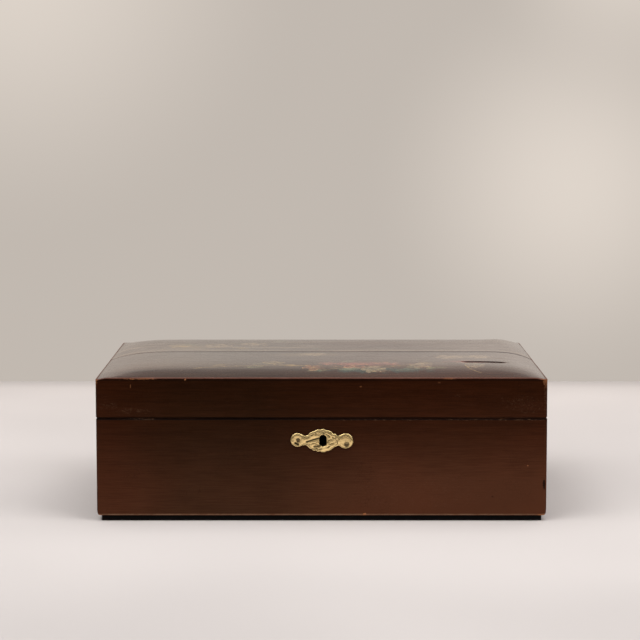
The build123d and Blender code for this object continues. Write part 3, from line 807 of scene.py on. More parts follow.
LID_SPOTS = (
    on_front(-99.3, 105.1, 0.6, 1.1, Hurt.CHIP, 0.8, 1.0),
    on_front(-128.9, 105.9, 9.5, 0.9, Hurt.RUB, 1.0, 1.4),
    on_front(-132.5, 106.1, 10.0, 0.9, Hurt.CHIP, 0.8, 2.2),
    on_front(-139.3, 100.3, 0.3, 1.3, Hurt.CHIP, 0.3, 1.1),
    on_front(-157.0, 85.5, 6.0, 2.6, Hurt.RUB, 0.3, 1.6),
    on_front(-138.0, 81.5, 13.0, 2.2, Hurt.RUB, 0.32, 1.6),
    on_front(28.6, 99.7, 0.8, 0.5, Hurt.CHIP, 0.24, 1.2),
    on_front(93.0, 105.9, 3.6, 0.7, Hurt.CHIP, 0.4, 1.9),
    on_front(85.7, 102.7, 0.8, 0.45, Hurt.CHIP, 0.18, 1.3),
    on_front(100.6, 93.0, 3.0, 1.2, Hurt.RUB, 0.55, 1.2),
    on_front(131.5, 91.5, 0.5, 1.2, Hurt.RUB, 0.8, 1.0),
    on_front(148.0, 86.0, 13.0, 6.0, Hurt.RUB, 0.22, 1.4),
    on_front(163.6, 92.0, 1.4, 12.0, Hurt.RUB, 0.6, 0.8),
    on_front(163.6, 103.1, 1.5, 3.2, Hurt.CHIP, 0.45, 1.9),
    on_front(-164.6, 103.6, 0.9, 2.8, Hurt.CHIP, 0.4, 1.8),
    Spot((164.9, -40.0, 92.0), (2.0, 14.0, 1.6), Hurt.RUB, 0.5, 1.0),
    Spot((-164.9, 20.0, 88.0), (2.0, 16.0, 2.0), Hurt.RUB, 0.45, 1.0),
    Spot((-80.0, 109.2, 95.0), (14.0, 2.0, 1.8), Hurt.RUB, 0.5, 1.0),
)


@dataclass(frozen=True)
class Lacquer:
    """Old dark lacquer over wood: streaks, haze, scratches, crackle, and bare wood where it is worn.

    Its haze grows from the height rise down to the foot and to the right, partly milky haze and partly painted light
    from the table below and from the right. A pale line runs at the height foot, if there is one, partly rubbed and
    partly a painted reflection of the table.
    """

    name: str
    stretch: Point
    rise: float
    rough: float = 0.3
    deep: Colour = linear(36, 12, 1)
    warm: Colour = linear(47, 19, 4)
    haze_and_light: Colour = linear(75, 42, 26)
    bare: Colour = linear(180, 118, 76)
    rubbed: Colour = linear(112, 66, 44)
    pale: Colour = (0.21, 0.118, 0.07)
    spots: tuple[Spot, ...] = ()
    gloss: float = 0.05
    coat: float = 0.0
    foot: float = 0.0
    relief: float = 0.07

    def dress(self, effects: Effects) -> bpy.types.Material:
        """Builds the material.

        Args:
            effects: The shared groups.

        Returns:
            The material.
        """
        made, tree, shader = new_material(self.name)
        colour, rough, normal = self.layers(tree, effects)
        tree.put(shader.inputs["Base Color"], colour)
        tree.put(shader.inputs["Roughness"], rough)
        shader.inputs["IOR"].default_value = 1.5
        shader.inputs["Specular IOR Level"].default_value = self.gloss
        if self.coat:
            whole = tree.span(tree.value("near"), 0.1, 0.6, self.coat, 0.0)
            tree.put(shader.inputs["Coat Weight"], whole * tree.fall(tree.value("gap"), 0.0, 0.5))
        shader.inputs["Coat Roughness"].default_value = 0.1
        tree.put(shader.inputs["Normal"], normal)
        return made

    def layers(self, tree: Tree, effects: Effects) -> tuple[Wire, Wire, Wire]:
        """The lacquer's colour, roughness and normal.

        Colour goes from deep to warm by the streaks, then to haze with painted light, painted shade and the foot's pale
        line with its painted reflection, then to bare wood where the edge wear or a spot says so, and last come
        scratches, crackle and dents.

        Args:
            tree: The material's tree.
            effects: The shared groups.

        Returns:
            The three.
        """
        place = tree.place()
        x, _, up = tree.split(place)
        broad, fine, _ = tree.use(effects.grain, place, self.stretch)
        colour = self._body(tree, place, x, up, broad, fine)
        near, wear = tree.value("near"), tree.value("worn")
        bare, rubbed = tree.use(effects.edge, place, near, wear)
        hurts = self._hurts(tree, effects, place, bare)
        bare, rub, dent = hurts[Hurt.CHIP], hurts[Hurt.RUB], hurts[Hurt.DENT]
        scratch, = tree.use(effects.scratch, place, tuple(0.6 * part + 0.02 for part in self.stretch), 0.48)
        crackle, = tree.use(effects.crackle, place, 0.42)
        wood = tree.blend(fine, self.bare, times(self.bare, 0.45))
        colour = tree.blend(rubbed * 0.62, colour, self.rubbed)
        # Painted shade in the seam at the rim, under the arris and in the keyhole.
        colour = tree.blend(self._painted_shade(tree, place, up), colour, times(self.deep, 0.1))
        # A pale line round the foot: partly rubbed lacquer, partly a painted reflection of the table on the rounded
        # foot.
        if self.foot:
            line = tree.fall(abs(up - self.foot), 0.25, 0.75)
            line = line * tree.span(tree.noise(place, 0.09, 4.0, 0.7), 0.3, 0.6, 0.35, 0.95)
            colour = tree.blend(line, colour, self.pale)
        colour = tree.blend(rub * 0.75, colour, self.pale)
        colour = tree.blend(bare, colour, wood)
        colour = tree.blend(scratch * 0.22, colour, self.haze_and_light)
        colour = tree.blend(crackle * 0.22, colour, times(self.deep, 0.3))
        colour = tree.blend(dent, colour, times(self.deep, 0.25))
        rough = self.rough + tree.noise(place, 0.07, 4.0, 0.6) * 0.16 + fine * 0.06
        hurt = tree.most(bare, near * 0.9, rub * 0.6)
        rough = tree.math("ADD", rough, hurt * 0.4, clamp=True)
        relief = fine * 0.3 + tree.noise(place, 0.8, 3.0, 0.6) * 0.35
        for mask, share in ((bare, -1.4), (dent, -3.0), (scratch, -0.5), (crackle, -0.6)):
            relief = relief + mask * share
        return colour, rough, tree.bump(relief, self.relief, 0.8)

    def _body(self, tree: Tree, place: Wire, x: Wire, up: Wire, broad: Wire, fine: Wire) -> Wire:
        """The unhurt lacquer: streaks, patches of hue, and haze with painted light, growing downwards and to the right.

        Painted shade and light: left of the middle it is darker and greener, and towards both ends lighter and redder.
        """
        colour = tree.blend(tree.span(broad * 0.75 + fine * 0.35, 0.28, 0.85), self.deep, self.warm)
        cloud = tree.noise(place, 0.018, 3.0, 0.5)
        # Lighter towards the foot and to the right: partly a milky haze, partly painted light from the table below and
        # from the right.
        veil_and_light = tree.span(up, self.rise, 2.0) * (0.55 + cloud * 0.9) * (0.75 + fine * 0.4)
        veil_and_light = tree.math("MULTIPLY", veil_and_light, tree.span(x, -120.0, 130.0, 0.82, 1.3), clamp=True)
        colour = tree.blend(veil_and_light, colour, self.haze_and_light)
        patch = tree.span(tree.noise(place, 0.012, 2.0, 0.5), 0.35, 0.68)
        colour = tree.blend(patch * 0.5, colour, colour * (0.74, 0.9, 0.95))
        # Painted shade left of the middle and painted light towards both ends.
        painted_shade_to_light = tree.span(abs(x + 62.0), 22.0, 108.0)
        return colour * tree.blend(painted_shade_to_light, (0.78, 0.9, 0.88), (1.13, 1.06, 1.02))

    def _hurts(self, tree: Tree, effects: Effects, place: Wire, bare: Wire) -> dict[Hurt, Any]:
        """The masks of chips, rubs and dents. Chips join the bare wood of the edges, and rubs break into dashes."""
        dashes = tree.span(tree.noise(place * (0.5, 0.5, 2.2), 1.0, 3.0, 0.7), 0.52, 0.68)
        masks: dict[Hurt, Any] = {Hurt.CHIP: bare, Hurt.RUB: 0.0, Hurt.DENT: 0.0}
        for spot in self.spots:
            mask = tree.use(effects.mark, place, spot.middle, spot.reach, spot.ragged)[0] * spot.strength
            mask = mask * dashes if spot.kind is Hurt.RUB else mask
            masks[spot.kind] = tree.most(masks[spot.kind], mask)
        return masks

    def _painted_shade(self, tree: Tree, place: Wire, up: Wire) -> Wire:
        """Painted shade: a dark band in the seam at the rim, shade under the arris and black in the keyhole, less on
        level faces.
        """
        rim = tree.span(abs(up - (Z.rim - 0.15)), 0.7, 1.25, 0.94, 0.0)
        arris = tree.span(abs(up - (Z.arris - 0.5)), 0.5, 1.3, 0.5, 0.0)
        level = abs(tree.split(tree.add("ShaderNodeNewGeometry").outputs["Normal"])[2])
        return tree.most(rim, arris, keyhole_shade(tree, place)) * tree.span(level, 0.75, 0.98, 1.0, 0.6)


@dataclass(frozen=True)
class Stroke:
    """One shape of the faded spray: its tint, its foot or centre on the lid, its turn, and its own sizes.

    A flower's sizes are radius and petals, a leaf's are length and width, and a stem's are length, bow and width.
    """

    tint: Colour
    x: float
    y: float
    turn: float
    sizes: tuple[float, ...]


@dataclass(frozen=True)
class Wash:
    """A soft patch of thin paint on the lid's top: its middle and half size in mm, its tint and strength."""

    middle: tuple[float, float]
    reach: tuple[float, float]
    tint: Colour
    strength: float = 0.34


CREAM = linear(190, 162, 126)
PEACH = linear(176, 114, 80)
ROSE = linear(164, 84, 74)
SAGE = linear(98, 116, 88)
TEAL = linear(66, 98, 90)
STRAW = linear(190, 158, 100)
TWIG = linear(122, 92, 58)
# A pale tan for the top's dust, its painted reflection and the joint's pale lip.
PALE_TAN = linear(166, 142, 116)

FLOWERS = (
    Stroke(ROSE, 24.0, -84.0, 0.3, (11.0, 5.0)),
    Stroke(PEACH, -6.0, -91.0, 0.9, (9.0, 5.0)),
    Stroke(CREAM, 38.0, -95.0, 0.1, (9.5, 6.0)),
    Stroke(CREAM, 74.0, -84.0, 0.5, (9.0, 5.0)),
    Stroke(ROSE, 4.0, -76.0, 1.1, (7.0, 5.0)),
    Stroke(ROSE, 54.0, -78.0, 0.2, (6.5, 6.0)),
    Stroke(CREAM, 97.0, -42.0, 0.7, (12.0, 5.0)),
    Stroke(CREAM, 121.0, -40.0, 0.2, (10.0, 6.0)),
    Stroke(CREAM, 114.0, -84.0, 0.4, (8.0, 6.0)),
    Stroke(STRAW, -36.0, -74.0, 0.2, (9.0, 5.0)),
    Stroke(CREAM, -6.0, -24.0, 0.8, (11.0, 5.0)),
    Stroke(CREAM, -82.0, 30.0, 0.1, (12.0, 5.0)),
    Stroke(CREAM, -54.0, 40.0, 0.6, (12.0, 6.0)),
    Stroke(STRAW, -112.0, 30.0, 0.4, (10.0, 5.0)),
)

LEAVES = (
    Stroke(SAGE, 31.0, -92.0, 3.4, (19.0, 3.8)),
    Stroke(TEAL, 10.0, -97.0, 0.15, (18.0, 3.4)),
    Stroke(TEAL, 54.0, -98.0, 0.3, (20.0, 3.8)),
    Stroke(SAGE, 62.0, -92.0, 0.75, (17.0, 3.6)),
    Stroke(PEACH, 36.0, -100.0, 0.05, (16.0, 3.0)),
    Stroke(SAGE, 76.0, -94.0, 0.2, (18.0, 3.6)),
    Stroke(STRAW, -14.0, -86.0, 2.9, (18.0, 3.6)),
    Stroke(TEAL, -12.0, -99.0, 6.2, (17.0, 3.2)),
    Stroke(SAGE, 14.0, -72.0, 0.7, (15.0, 3.2)),
    Stroke(PEACH, 38.0, -76.0, 0.4, (16.0, 3.4)),
    Stroke(STRAW, 84.0, -78.0, 2.6, (16.0, 3.4)),
    Stroke(SAGE, 106.0, -74.0, 5.9, (17.0, 3.4)),
    Stroke(TEAL, 86.0, -62.0, 3.0, (17.0, 3.6)),
    Stroke(SAGE, -42.0, -88.0, 3.3, (16.0, 3.2)),
    Stroke(SAGE, -52.0, -80.0, 0.2, (16.0, 3.2)),
    Stroke(STRAW, -68.0, -80.0, 3.6, (15.0, 3.0)),
    Stroke(SAGE, -94.0, 36.0, 2.8, (22.0, 4.0)),
    Stroke(STRAW, -72.0, 22.0, 5.7, (20.0, 4.0)),
    Stroke(SAGE, -42.0, 58.0, 0.5, (18.0, 3.6)),
    Stroke(TEAL, -12.0, 16.0, 5.8, (18.0, 3.6)),
    Stroke(TEAL, -58.0, 44.0, 2.7, (16.0, 3.4)),
)

WASHES = (
    Wash((30.0, -78.0), (30.0, 9.0), ROSE),
    Wash((36.0, -97.5), (44.0, 6.5), TEAL),
    Wash((110.0, -68.0), (18.0, 6.0), ROSE),
    Wash((106.0, -39.0), (26.0, 9.0), CREAM, 0.16),
    Wash((-8.0, -26.0), (30.0, 10.0), STRAW, 0.12),
    Wash((-104.0, 22.0), (22.0, 16.0), STRAW, 0.12),
)

STEMS = (
    Stroke(TWIG, -96.0, -94.0, 0.05, (112.0, 7.0, 0.75)),
    Stroke(TWIG, -2.0, -100.0, 0.12, (84.0, 8.0, 0.7)),
    Stroke(TWIG, -4.0, -94.0, 0.45, (40.0, -6.0, 0.65)),
    Stroke(TWIG, 40.0, -98.0, 0.35, (74.0, 8.0, 0.6)),
    Stroke(TWIG, 117.0, -104.0, 1.9, (30.0, 4.0, 0.8)),
    Stroke(TWIG, -126.0, 8.0, 0.52, (84.0, 10.0, 0.7)),
    Stroke(TWIG, -106.0, 6.0, 0.2, (92.0, -8.0, 0.6)),
)


@dataclass(frozen=True)
class PaintedTop(Lacquer):
    """The lid's top: the lacquer with a faded spray of flowers, the joint's crack and a short split."""

    def layers(self, tree: Tree, effects: Effects) -> tuple[Wire, Wire, Wire]:
        """The lacquer's layers with dust, painted reflection and painted shade, the faded painting and the dark cracks
        over them.

        Args:
            tree: The material's tree.
            effects: The shared groups.

        Returns:
            Colour, roughness and normal.
        """
        colour, rough, normal = super().layers(tree, effects)
        place = tree.place()
        x, y, _ = tree.split(place)
        colour = self._dust_sheen_and_shade(tree, colour, place, x, y)
        colour = tree.blend(tree.span(tree.value("near"), 0.2, 0.7, 0.0, 0.8), colour, linear(84, 38, 20))
        colour = self._painted(tree, effects, colour, place, x, y)
        rough = tree.math("ADD", rough, tree.span(tree.split(colour)[0], 0.1, 0.45, 0.0, 0.1), clamp=True)
        normal = tree.bump(tree.noise(place * (0.02, 0.09, 0.09), 1.0, 2.0, 0.5), 0.5, 0.5, normal)
        gap = tree.value("gap")
        colour = tree.blend(gap, colour, linear(34, 17, 9))
        return colour, tree.math("ADD", rough, gap * 0.7, clamp=True), normal

    def _dust_sheen_and_shade(self, tree: Tree, colour: Wire, place: Wire, x: Wire, y: Wire) -> Wire:
        """Adds dust and painted reflection in streaks, the joint's pale lip, and painted shade before it on the left.
        """
        # Pale streaks, most of them behind the joint, and a lighter band on the left: dust and painted reflection.
        brushed = tree.noise(place * (0.014, 0.11, 0.11), 1.0, 4.0, 0.6)
        behind = tree.span(y, P.joint - 3.0, P.joint + 6.0) * tree.span(x, 60.0, -60.0, 0.25, 1.0)
        veil_and_light = tree.span(brushed, 0.44, 0.7) * (0.07 + behind * 0.28) + tree.span(x, -10.0, -130.0, 0.0, 0.1)
        colour = tree.blend(veil_and_light * tree.span(y, P.front + 12.0, P.front + 30.0), colour, PALE_TAN)
        uneven = tree.noise(place * (0.05, 0.3, 0.3), 1.0, 3.0, 0.6)
        lip = tree.fall(abs(y - (P.joint + 7.0)), 1.5, 5.0)
        colour = tree.blend(lip * tree.span(uneven, 0.35, 0.62, 0.03, 0.36), colour, PALE_TAN)
        # Painted shade just before the joint on the left.
        dark = tree.fall(abs(y - (P.joint - 2.6)), 1.2, 6.0) * tree.span(x, -150.0, -108.0)
        return tree.blend(dark * tree.span(uneven, 0.3, 0.6, 0.7, 0.25), colour, linear(16, 8, 4))

    def _painted(self, tree: Tree, effects: Effects, colour: Wire, place: Wire, x: Wire, y: Wire) -> Wire:
        """Adds the washes, then each tint's shapes with their lines, all of them faded in flecks."""
        fade = tree.span(tree.noise(place, 0.16, 5.0, 0.72), 0.36, 0.64)
        flecks = tree.span(tree.noise(place, 1.9, 3.0, 0.7), 0.38, 0.55)
        fade = fade * (0.45 + flecks * 0.55)
        masks: dict[Colour, Any] = dict.fromkeys((TWIG, SAGE, TEAL, ROSE, PEACH, STRAW, CREAM), 0.0)
        for group, strokes in ((effects.stem, STEMS), (effects.leaf, LEAVES), (effects.blossom, FLOWERS)):
            for stroke in strokes:
                mask, = tree.use(group, x, y, stroke.x, stroke.y, stroke.turn, *stroke.sizes)
                masks[stroke.tint] = tree.most(masks[stroke.tint], mask)
        for wash in WASHES:
            mask, = tree.use(effects.wash, x, y, *wash.middle, *wash.reach, fade)
            colour = tree.blend(mask * wash.strength, colour, wash.tint)
        for tint, mask in masks.items():
            colour = tree.blend(tree.span(mask, 0.05, 0.35, 0.0, 0.46) * fade, colour, tint)
            lines = tree.span(mask, 0.6, 0.95, 0.0, 0.46) * fade
            colour = tree.blend(lines, colour, TWIG if tint in (CREAM, STRAW) else STRAW)
        return colour


@dataclass(frozen=True)
class PlainWood:
    """Bare wood: bands of growth stretched along the boards, pores, stains, and perhaps a joint or painted shade below.
    """

    name: str
    light: Colour
    dark: Colour
    stretch: Point
    joint: float | None = None
    below: Colour | None = None

    def dress(self, effects: Effects) -> bpy.types.Material:
        """Builds the material: bands go up and down as stretched noise times 11 does.

        Args:
            effects: The shared groups.

        Returns:
            The material.
        """
        made, tree, shader = new_material(self.name)
        place = tree.place()
        _, y, up = tree.split(place)
        _, fine, pore = tree.use(effects.grain, place, self.stretch)
        rings = tree.math("PINGPONG", tree.noise(place * self.stretch, 0.16, 1.0, 0.3, 0.4) * 11.0, 1.0)
        colour = tree.blend(tree.span(rings * 0.55 + fine * 0.45, 0.1, 0.95), self.dark, self.light)
        colour = tree.blend(pore * 0.45, colour, times(self.dark, 0.4))
        stain = tree.span(tree.noise(place, 0.02, 4.0, 0.6), 0.45, 0.75)
        colour = tree.blend(stain * 0.4, colour, times(self.dark, 0.6))
        if self.joint is not None:
            line = tree.span(abs(y - self.joint), 0.12, 0.3, 0.85, 0.0)
            colour = tree.blend(line, colour, times(self.dark, 0.2))
        # Painted shade: the edge below the walls goes near black, darkest at the table, with lighter flecks.
        if self.below is not None:
            under = tree.fall(up, Z.bottom - 0.25, Z.bottom - 0.1)
            rubbed = tree.span(tree.noise(place, 0.3, 4.0, 0.65), 0.62, 0.78)
            tinted = tree.blend(rubbed * 0.4, self.below, times(self.dark, 0.6))
            tinted = tree.blend(tree.fall(up, 0.05, 0.2), tinted, times(self.dark, 0.5))
            colour = tree.blend(under, colour, tinted)
        tree.put(shader.inputs["Base Color"], colour)
        tree.put(shader.inputs["Roughness"], 0.62 + fine * 0.12)
        shader.inputs["IOR"].default_value = 1.42
        shader.inputs["Specular IOR Level"].default_value = 0.15
        tree.put(shader.inputs["Normal"], tree.bump(fine * 0.5 - pore, 0.06, 0.8))
        return made


class Tone(Enum):
    """How old a metal looks."""

    CLEAN = 0.05
    KEPT = 0.22
    WORN = 0.42
    OLD = 0.62


@dataclass(frozen=True)
class Metal:
    """Aged metal: a bright colour that goes to its tarnish in clouds, spots and hollows, with painted shade where
    asked.
    """

    name: str
    bright: Colour
    dull: Colour
    spot: Colour
    rough: float
    tone: Tone
    hollows: bool = False
    keyhole_shaded: bool = False

    def dress(self, effects: Effects) -> bpy.types.Material:
        """Builds the material.

        Args:
            effects: The shared groups.

        Returns:
            The material.
        """
        made, tree, shader = new_material(self.name)
        place = tree.place()
        hollow: Any = tree.value("hollow") if self.hollows else 0.0
        cloud, spot, height = tree.use(effects.tarnish, place, hollow, self.tone.value)
        brushed = tree.noise(place * (0.25, 0.25, 3.0), 1.2, 3.0, 0.6)
        colour = tree.blend(brushed * 0.22, self.bright, self.dull)
        colour = tree.blend(cloud * 0.8, colour, self.dull)
        colour = tree.blend(spot * 0.7, colour, self.spot)
        rough = tree.math("ADD", self.rough + cloud * 0.22, spot * 0.2, clamp=True)
        metallic = 1.0 - spot * 0.35
        # Patina in the hollows, and on the keyhole plate a painted shade along its upper edges.
        if self.hollows:
            colour = tree.blend(tree.span(hollow, 0.3, 0.85, 0.0, 0.94), colour, self.spot)
        # Painted shade: what is seen through the keyhole goes near black.
        if self.keyhole_shaded:
            black = keyhole_shade(tree, place)
            colour = tree.blend(black * 0.96, colour, (0.004, 0.003, 0.002))
            rough = tree.math("ADD", rough, black * 0.5, clamp=True)
            metallic = metallic * (1.0 - black * 0.5)
        tree.put(shader.inputs["Base Color"], colour)
        tree.put(shader.inputs["Metallic"], metallic)
        tree.put(shader.inputs["Roughness"], rough)
        tree.put(shader.inputs["Normal"], tree.bump(height - spot * 0.4, 0.035, 0.7))
        return made


# ---------------------------------------------------------------- the case and the lid


CASE_SCARS = (
    Scar((162.5, -112.7, 5.2), (7.0, 3.0, 3.0), 1.0),
    Scar((-163.0, -112.7, 5.2), (3.0, 3.0, 2.5), 0.8),
    Scar((-124.5, -112.7, 76.0), (5.0, 3.0, 2.0), 0.6),
    Scar((-97.5, -112.7, 76.0), (6.0, 3.0, 2.0), 0.6),
    Scar((60.0, -112.7, 76.0), (46.0, 3.0, 2.0), 0.3),
    Scar((130.0, -112.7, 76.0), (34.0, 3.0, 2.0), 0.42),
    Scar((164.0, -112.7, 28.0), (2.5, 3.0, 5.0), 0.6),
    Scar((165.0, 60.0, 76.0), (3.0, 30.0, 2.0), 0.7),
    Scar((-165.0, -30.0, 76.0), (3.0, 40.0, 2.0), 0.7),
    Scar((-165.0, 108.0, 5.2), (4.0, 5.0, 4.0), 1.0),
    Scar((165.0, 108.0, 5.2), (4.0, 6.0, 3.0), 0.9),
    Scar((31.3, -112.7, 5.2), (1.4, 3.0, 1.5), 0.9),
    # Along the whole foot of the front: wear, and in its lighter colour a painted highlight of the table on the rounded
    # foot.
    Scar((0.0, -112.7, 5.2), (170.0, 3.0, 1.5), 0.55),
)

LID_SCARS = (
    Scar((-164.0, -112.0, 101.9), (3.0, 4.0, 6.5), 0.95),
    Scar((-128.8, -112.5, 105.9), (7.5, 3.0, 2.0), 0.95),
    Scar((92.5, -112.5, 105.9), (5.5, 3.0, 2.0), 0.95),
    Scar((162.5, -112.0, 103.4), (4.5, 4.0, 4.5), 1.15),
    Scar((164.2, -112.5, 88.0), (1.8, 3.0, 12.0), 0.8),
    Scar((0.0, -112.5, 105.9), (170.0, 3.0, 1.6), 0.42),
    Scar((-165.0, 109.0, 104.9), (4.0, 5.0, 4.0), 1.0),
    Scar((165.0, 109.0, 104.9), (5.0, 4.0, 4.0), 0.9),
    Scar((165.0, 20.0, 105.9), (3.0, 60.0, 2.0), 0.55),
    Scar((-165.0, -10.0, 105.9), (3.0, 60.0, 2.0), 0.55),
    Scar((130.0, -112.7, 77.0), (40.0, 3.0, 1.5), 0.45),
    Scar((-110.0, -8.0, 110.0), (40.0, 1.0, 9.0), 0.7),
    Scar((60.0, -6.0, 112.0), (70.0, 1.0, 9.0), 0.6),
)


def wobble(points: np.ndarray, seed: int) -> np.ndarray:
    """How far a hand-planed face lies below its true plane, in mm: 0.1 * slow noise + 0.03 * finer noise.

    Args:
        points: Places in mm.
        seed: Picks the noise.

    Returns:
        The depths, 0 to 0.13.
    """
    return 0.1 * cloudiness(points, 46.0, seed) + 0.03 * cloudiness(points, 13.0, seed + 1)


def chipped(points: np.ndarray, near: np.ndarray, wear: np.ndarray, seed: int) -> np.ndarray:
    """How far worn edges are rubbed back: near ** 2 * (0.07 + 0.55 * worn * noise), in mm.

    Args:
        points: Places in mm.
        near: Nearness to an edge.
        wear: How worn each place is.
        seed: Picks the noise.

    Returns:
        The depths in mm.
    """
    rough = 0.6 * cloudiness(points, 2.6, seed) + 0.4 * cloudiness(points, 7.0, seed + 1)
    return near * near * (0.07 + 0.55 * wear * smoothstep(0.3, 0.75, rough))


def walls_ring(levels: Sequence[tuple[float, float]], sheet: Sheet, seed: int, scars: Sequence[Scar],
               edges: Sequence[float], reach: float = 0.95) -> tuple[np.ndarray, np.ndarray, np.ndarray]:
    """Rings of points on the outer walls, one for each level.

    A level is an inset and a height. Nearness is exp(-(distance / reach) ** 2) of the closest edge height, or 0.8
    times that of the closest upright corner. Each point moves inwards by the face's wobble and by its wear, and
    the corners of the foot are rounded by 0.9 * exp(-(distance / 2.6) ** 2).

    Args:
        levels: Inset and height of each ring.
        sheet: The plan.
        seed: Picks the noise.
        scars: Worn stretches.
        edges: Heights of the level edges.
        reach: How far edge wear reaches, in mm.

    Returns:
        Points, nearness and wear, ring by ring.
    """
    _, rim, out = sheet.ring()
    made, nears, wears = [], [], []
    for inset, height in levels:
        ring = np.column_stack([rim - out * inset, np.full(len(rim), height)])
        close = min(abs(height - edge) for edge in edges)
        level = math.exp(-(close / reach) ** 2)
        side = np.minimum(ring[:, 1] - sheet.front, sheet.back - ring[:, 1])
        corner = np.hypot(np.maximum(0, sheet.right - np.abs(ring[:, 0])), side)
        upright = 0.8 * np.exp(-(corner / reach) ** 2)
        near = np.clip(np.maximum(level, upright), 0, 1)
        wear = worn(ring, scars)
        push = wobble(ring, seed) * (1 - 0.5 * near) + chipped(ring, near, wear, seed + 5)
        low = np.hypot(corner, max(0.0, height - Z.bottom))
        push += 0.9 * np.exp(-(low / 2.6) ** 2)
        ring[:, :2] -= out * push[:, None]
        made.append(ring)
        nears.append(near)
        wears.append(wear)
    return np.vstack(made), np.concatenate(nears), np.concatenate(wears)


def at_height(plan: np.ndarray, height: float) -> np.ndarray:
    """Points of the plan, all at one height."""
    return np.column_stack([plan, np.full(len(plan), height)])


def in_mm(box: Sequence[Sequence[float]]) -> tuple[np.ndarray, np.ndarray]:
    """The two corners of a box in mm."""
    return np.array(box[0]) / MM, np.array(box[1]) / MM


def seat(name: str, low: np.ndarray, high: np.ndarray, depths: Pair, heights: Pair) -> bpy.types.Object:
    """A cutter as wide as a box with its play, between two depths and two heights.

    Args:
        name: Its name.
        low: The box's lowest corner.
        high: The box's highest corner.
        depths: Y of the cutter's front and rear.
        heights: Z of its bottom and top.

    Returns:
        The cutter.
    """
    near, far = ((low[0] - PLAY, depths[0], heights[0]), (high[0] + PLAY, depths[1], heights[1]))
    return block(name, near, far)


def faces_of(made: bpy.types.Object) -> tuple[np.ndarray, np.ndarray, np.ndarray]:
    """The middles of a piece's faces in mm, their directions, and which of them lie within the walls."""
    faces = made.data.polygons
    centres, ways = np.zeros(len(faces) * 3), np.zeros(len(faces) * 3)
    faces.foreach_get("center", centres)
    faces.foreach_get("normal", ways)
    centres, ways = centres.reshape(-1, 3) / MM, ways.reshape(-1, 3)
    low, high = inner_corners()
    inside = (centres[:, :2] > low - SLACK) & (centres[:, :2] < high + SLACK)
    return centres, ways, inside.all(axis=1)


@dataclass
class Case:
    """The case's four walls, in one worn skin."""

    right: float = 165.0
    left: float = -164.9
    rim_round: float = 0.8
    foot_round: float = 1.2
    bevel: float = 0.35
    hole_round: float = 3.75
    hole_half: float = 1.45

    def build(self, outside: bpy.types.Material, inside: bpy.types.Material) -> bpy.types.Object:
        """Makes the walls: rings from the underside's outer edge up to the rim, across it and down the inside.

        Args:
            outside: The lacquer.
            inside: The bare wood.

        Returns:
            The piece.
        """
        columns = graded(self.left, self.right, coarse=2.1, fine=0.3, margin=9.0)
        rows = graded(P.front, P.back, coarse=2.6, fine=0.3, margin=9.0)
        sheet = Sheet(self.left, self.right, P.front, P.back, P.corner, columns, rows)
        square, rim, _ = sheet.ring()
        count = len(rim)
        foot_in, foot_up = arc_steps(self.foot_round, 5)
        rim_in, rim_up = arc_steps(self.rim_round, 4)
        levels = [(float(a), Z.bottom + self.foot_round - float(b)) for a, b in zip(foot_in[::-1], foot_up[::-1])]
        middle = graded(Z.bottom + self.foot_round, Z.rim - self.rim_round, coarse=6.0, fine=0.5, margin=12.0)
        levels += [(0.0, float(height)) for height in middle[1:-1]]
        levels += [(float(a), Z.rim - self.rim_round + float(b)) for a, b in zip(rim_in, rim_up)]
        points, near, wear = walls_ring(levels, sheet, 3, CASE_SCARS, (Z.bottom + 0.4, Z.rim))
        inner = inner_ring(sheet, square)
        low, high = inner_corners()
        out = np.where(inner < low + SLACK, -1, np.where(inner > high - SLACK, 1, 0))
        eased = at_height(inner + out * self.bevel, Z.rim)
        lane = LANE * points[-count:] + (1 - LANE) * at_height(inner, Z.rim)
        every = np.vstack([points, lane, eased, at_height(inner, Z.rim - self.bevel), at_height(inner, Z.bottom)])
        numbers = np.arange(len(every)).reshape(-1, count)
        made = mesh_object("case_walls", every, strips(list(numbers), True).tolist(), 40)
        for name, values, eased_value in (("near", near, 0.4), ("worn", wear, 0.25)):
            inner_values = np.repeat([0.0, 0.0, eased_value, 0.0], count)
            give_values(made, name, np.concatenate([values, inner_values]))
        for material in (outside, inside):
            made.data.materials.append(material)
        self._paint_faces(made)
        carve(made, self._cutters())
        for node in ("case_front", "case_back", "case_left_end", "case_right_end"):
            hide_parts(node)
        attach(made, "case")
        return made

    def _paint_faces(self, made: bpy.types.Object) -> None:
        """Gives the inner faces the bare wood."""
        centres, _, inside = faces_of(made)
        under = centres[:, 2] < Z.bottom + SLACK
        made.data.polygons.foreach_set("material_index", (inside & ~under).astype(np.int32))

    def _cutters(self) -> list[bpy.types.Object]:
        """The keyhole, the lock's mortise and selvedge, and the hinge leaves' seats, from the CAD nodes' boxes."""
        turn = np.linspace(0, 2 * math.pi, 40, endpoint=False)
        x = KEYHOLE_X + self.hole_round * np.cos(turn)
        z = KEYHOLE_Z + self.hole_round * np.sin(turn) + np.where(np.sin(turn) > 0, self.hole_half, -self.hole_half)
        inner_face = P.front + P.wall
        cutters = [prism("keyhole_cut", np.column_stack([x, z]), P.front - 2, inner_face - 1)]
        low, high = in_mm(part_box("lock_case"))
        cutters.append(seat("mortise_cut", low, high, (low[1] - PLAY, inner_face + 1), (low[2] - PLAY, high[2] + 0.5)))
        low, high = in_mm(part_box("lock_plate"))
        for name, front, bottom in (("plate_cut", inner_face - LEAF, low[2]), ("selvedge_cut", low[1], Z.rim - LEAF)):
            cutters.append(seat(name, low, high, (front - PLAY, inner_face + 1), (bottom - PLAY, Z.rim + 1)))
        for side in ("left", "right"):
            low, high = in_mm(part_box(f"hinge_{side}_case_leaf"))
            heights = (Z.rim - LEAF - 0.02, Z.rim + 1)
            cutters.append(seat(f"{side}_seat_cut", low, high, (low[1] - PLAY, P.back + 2), heights))
        return cutters


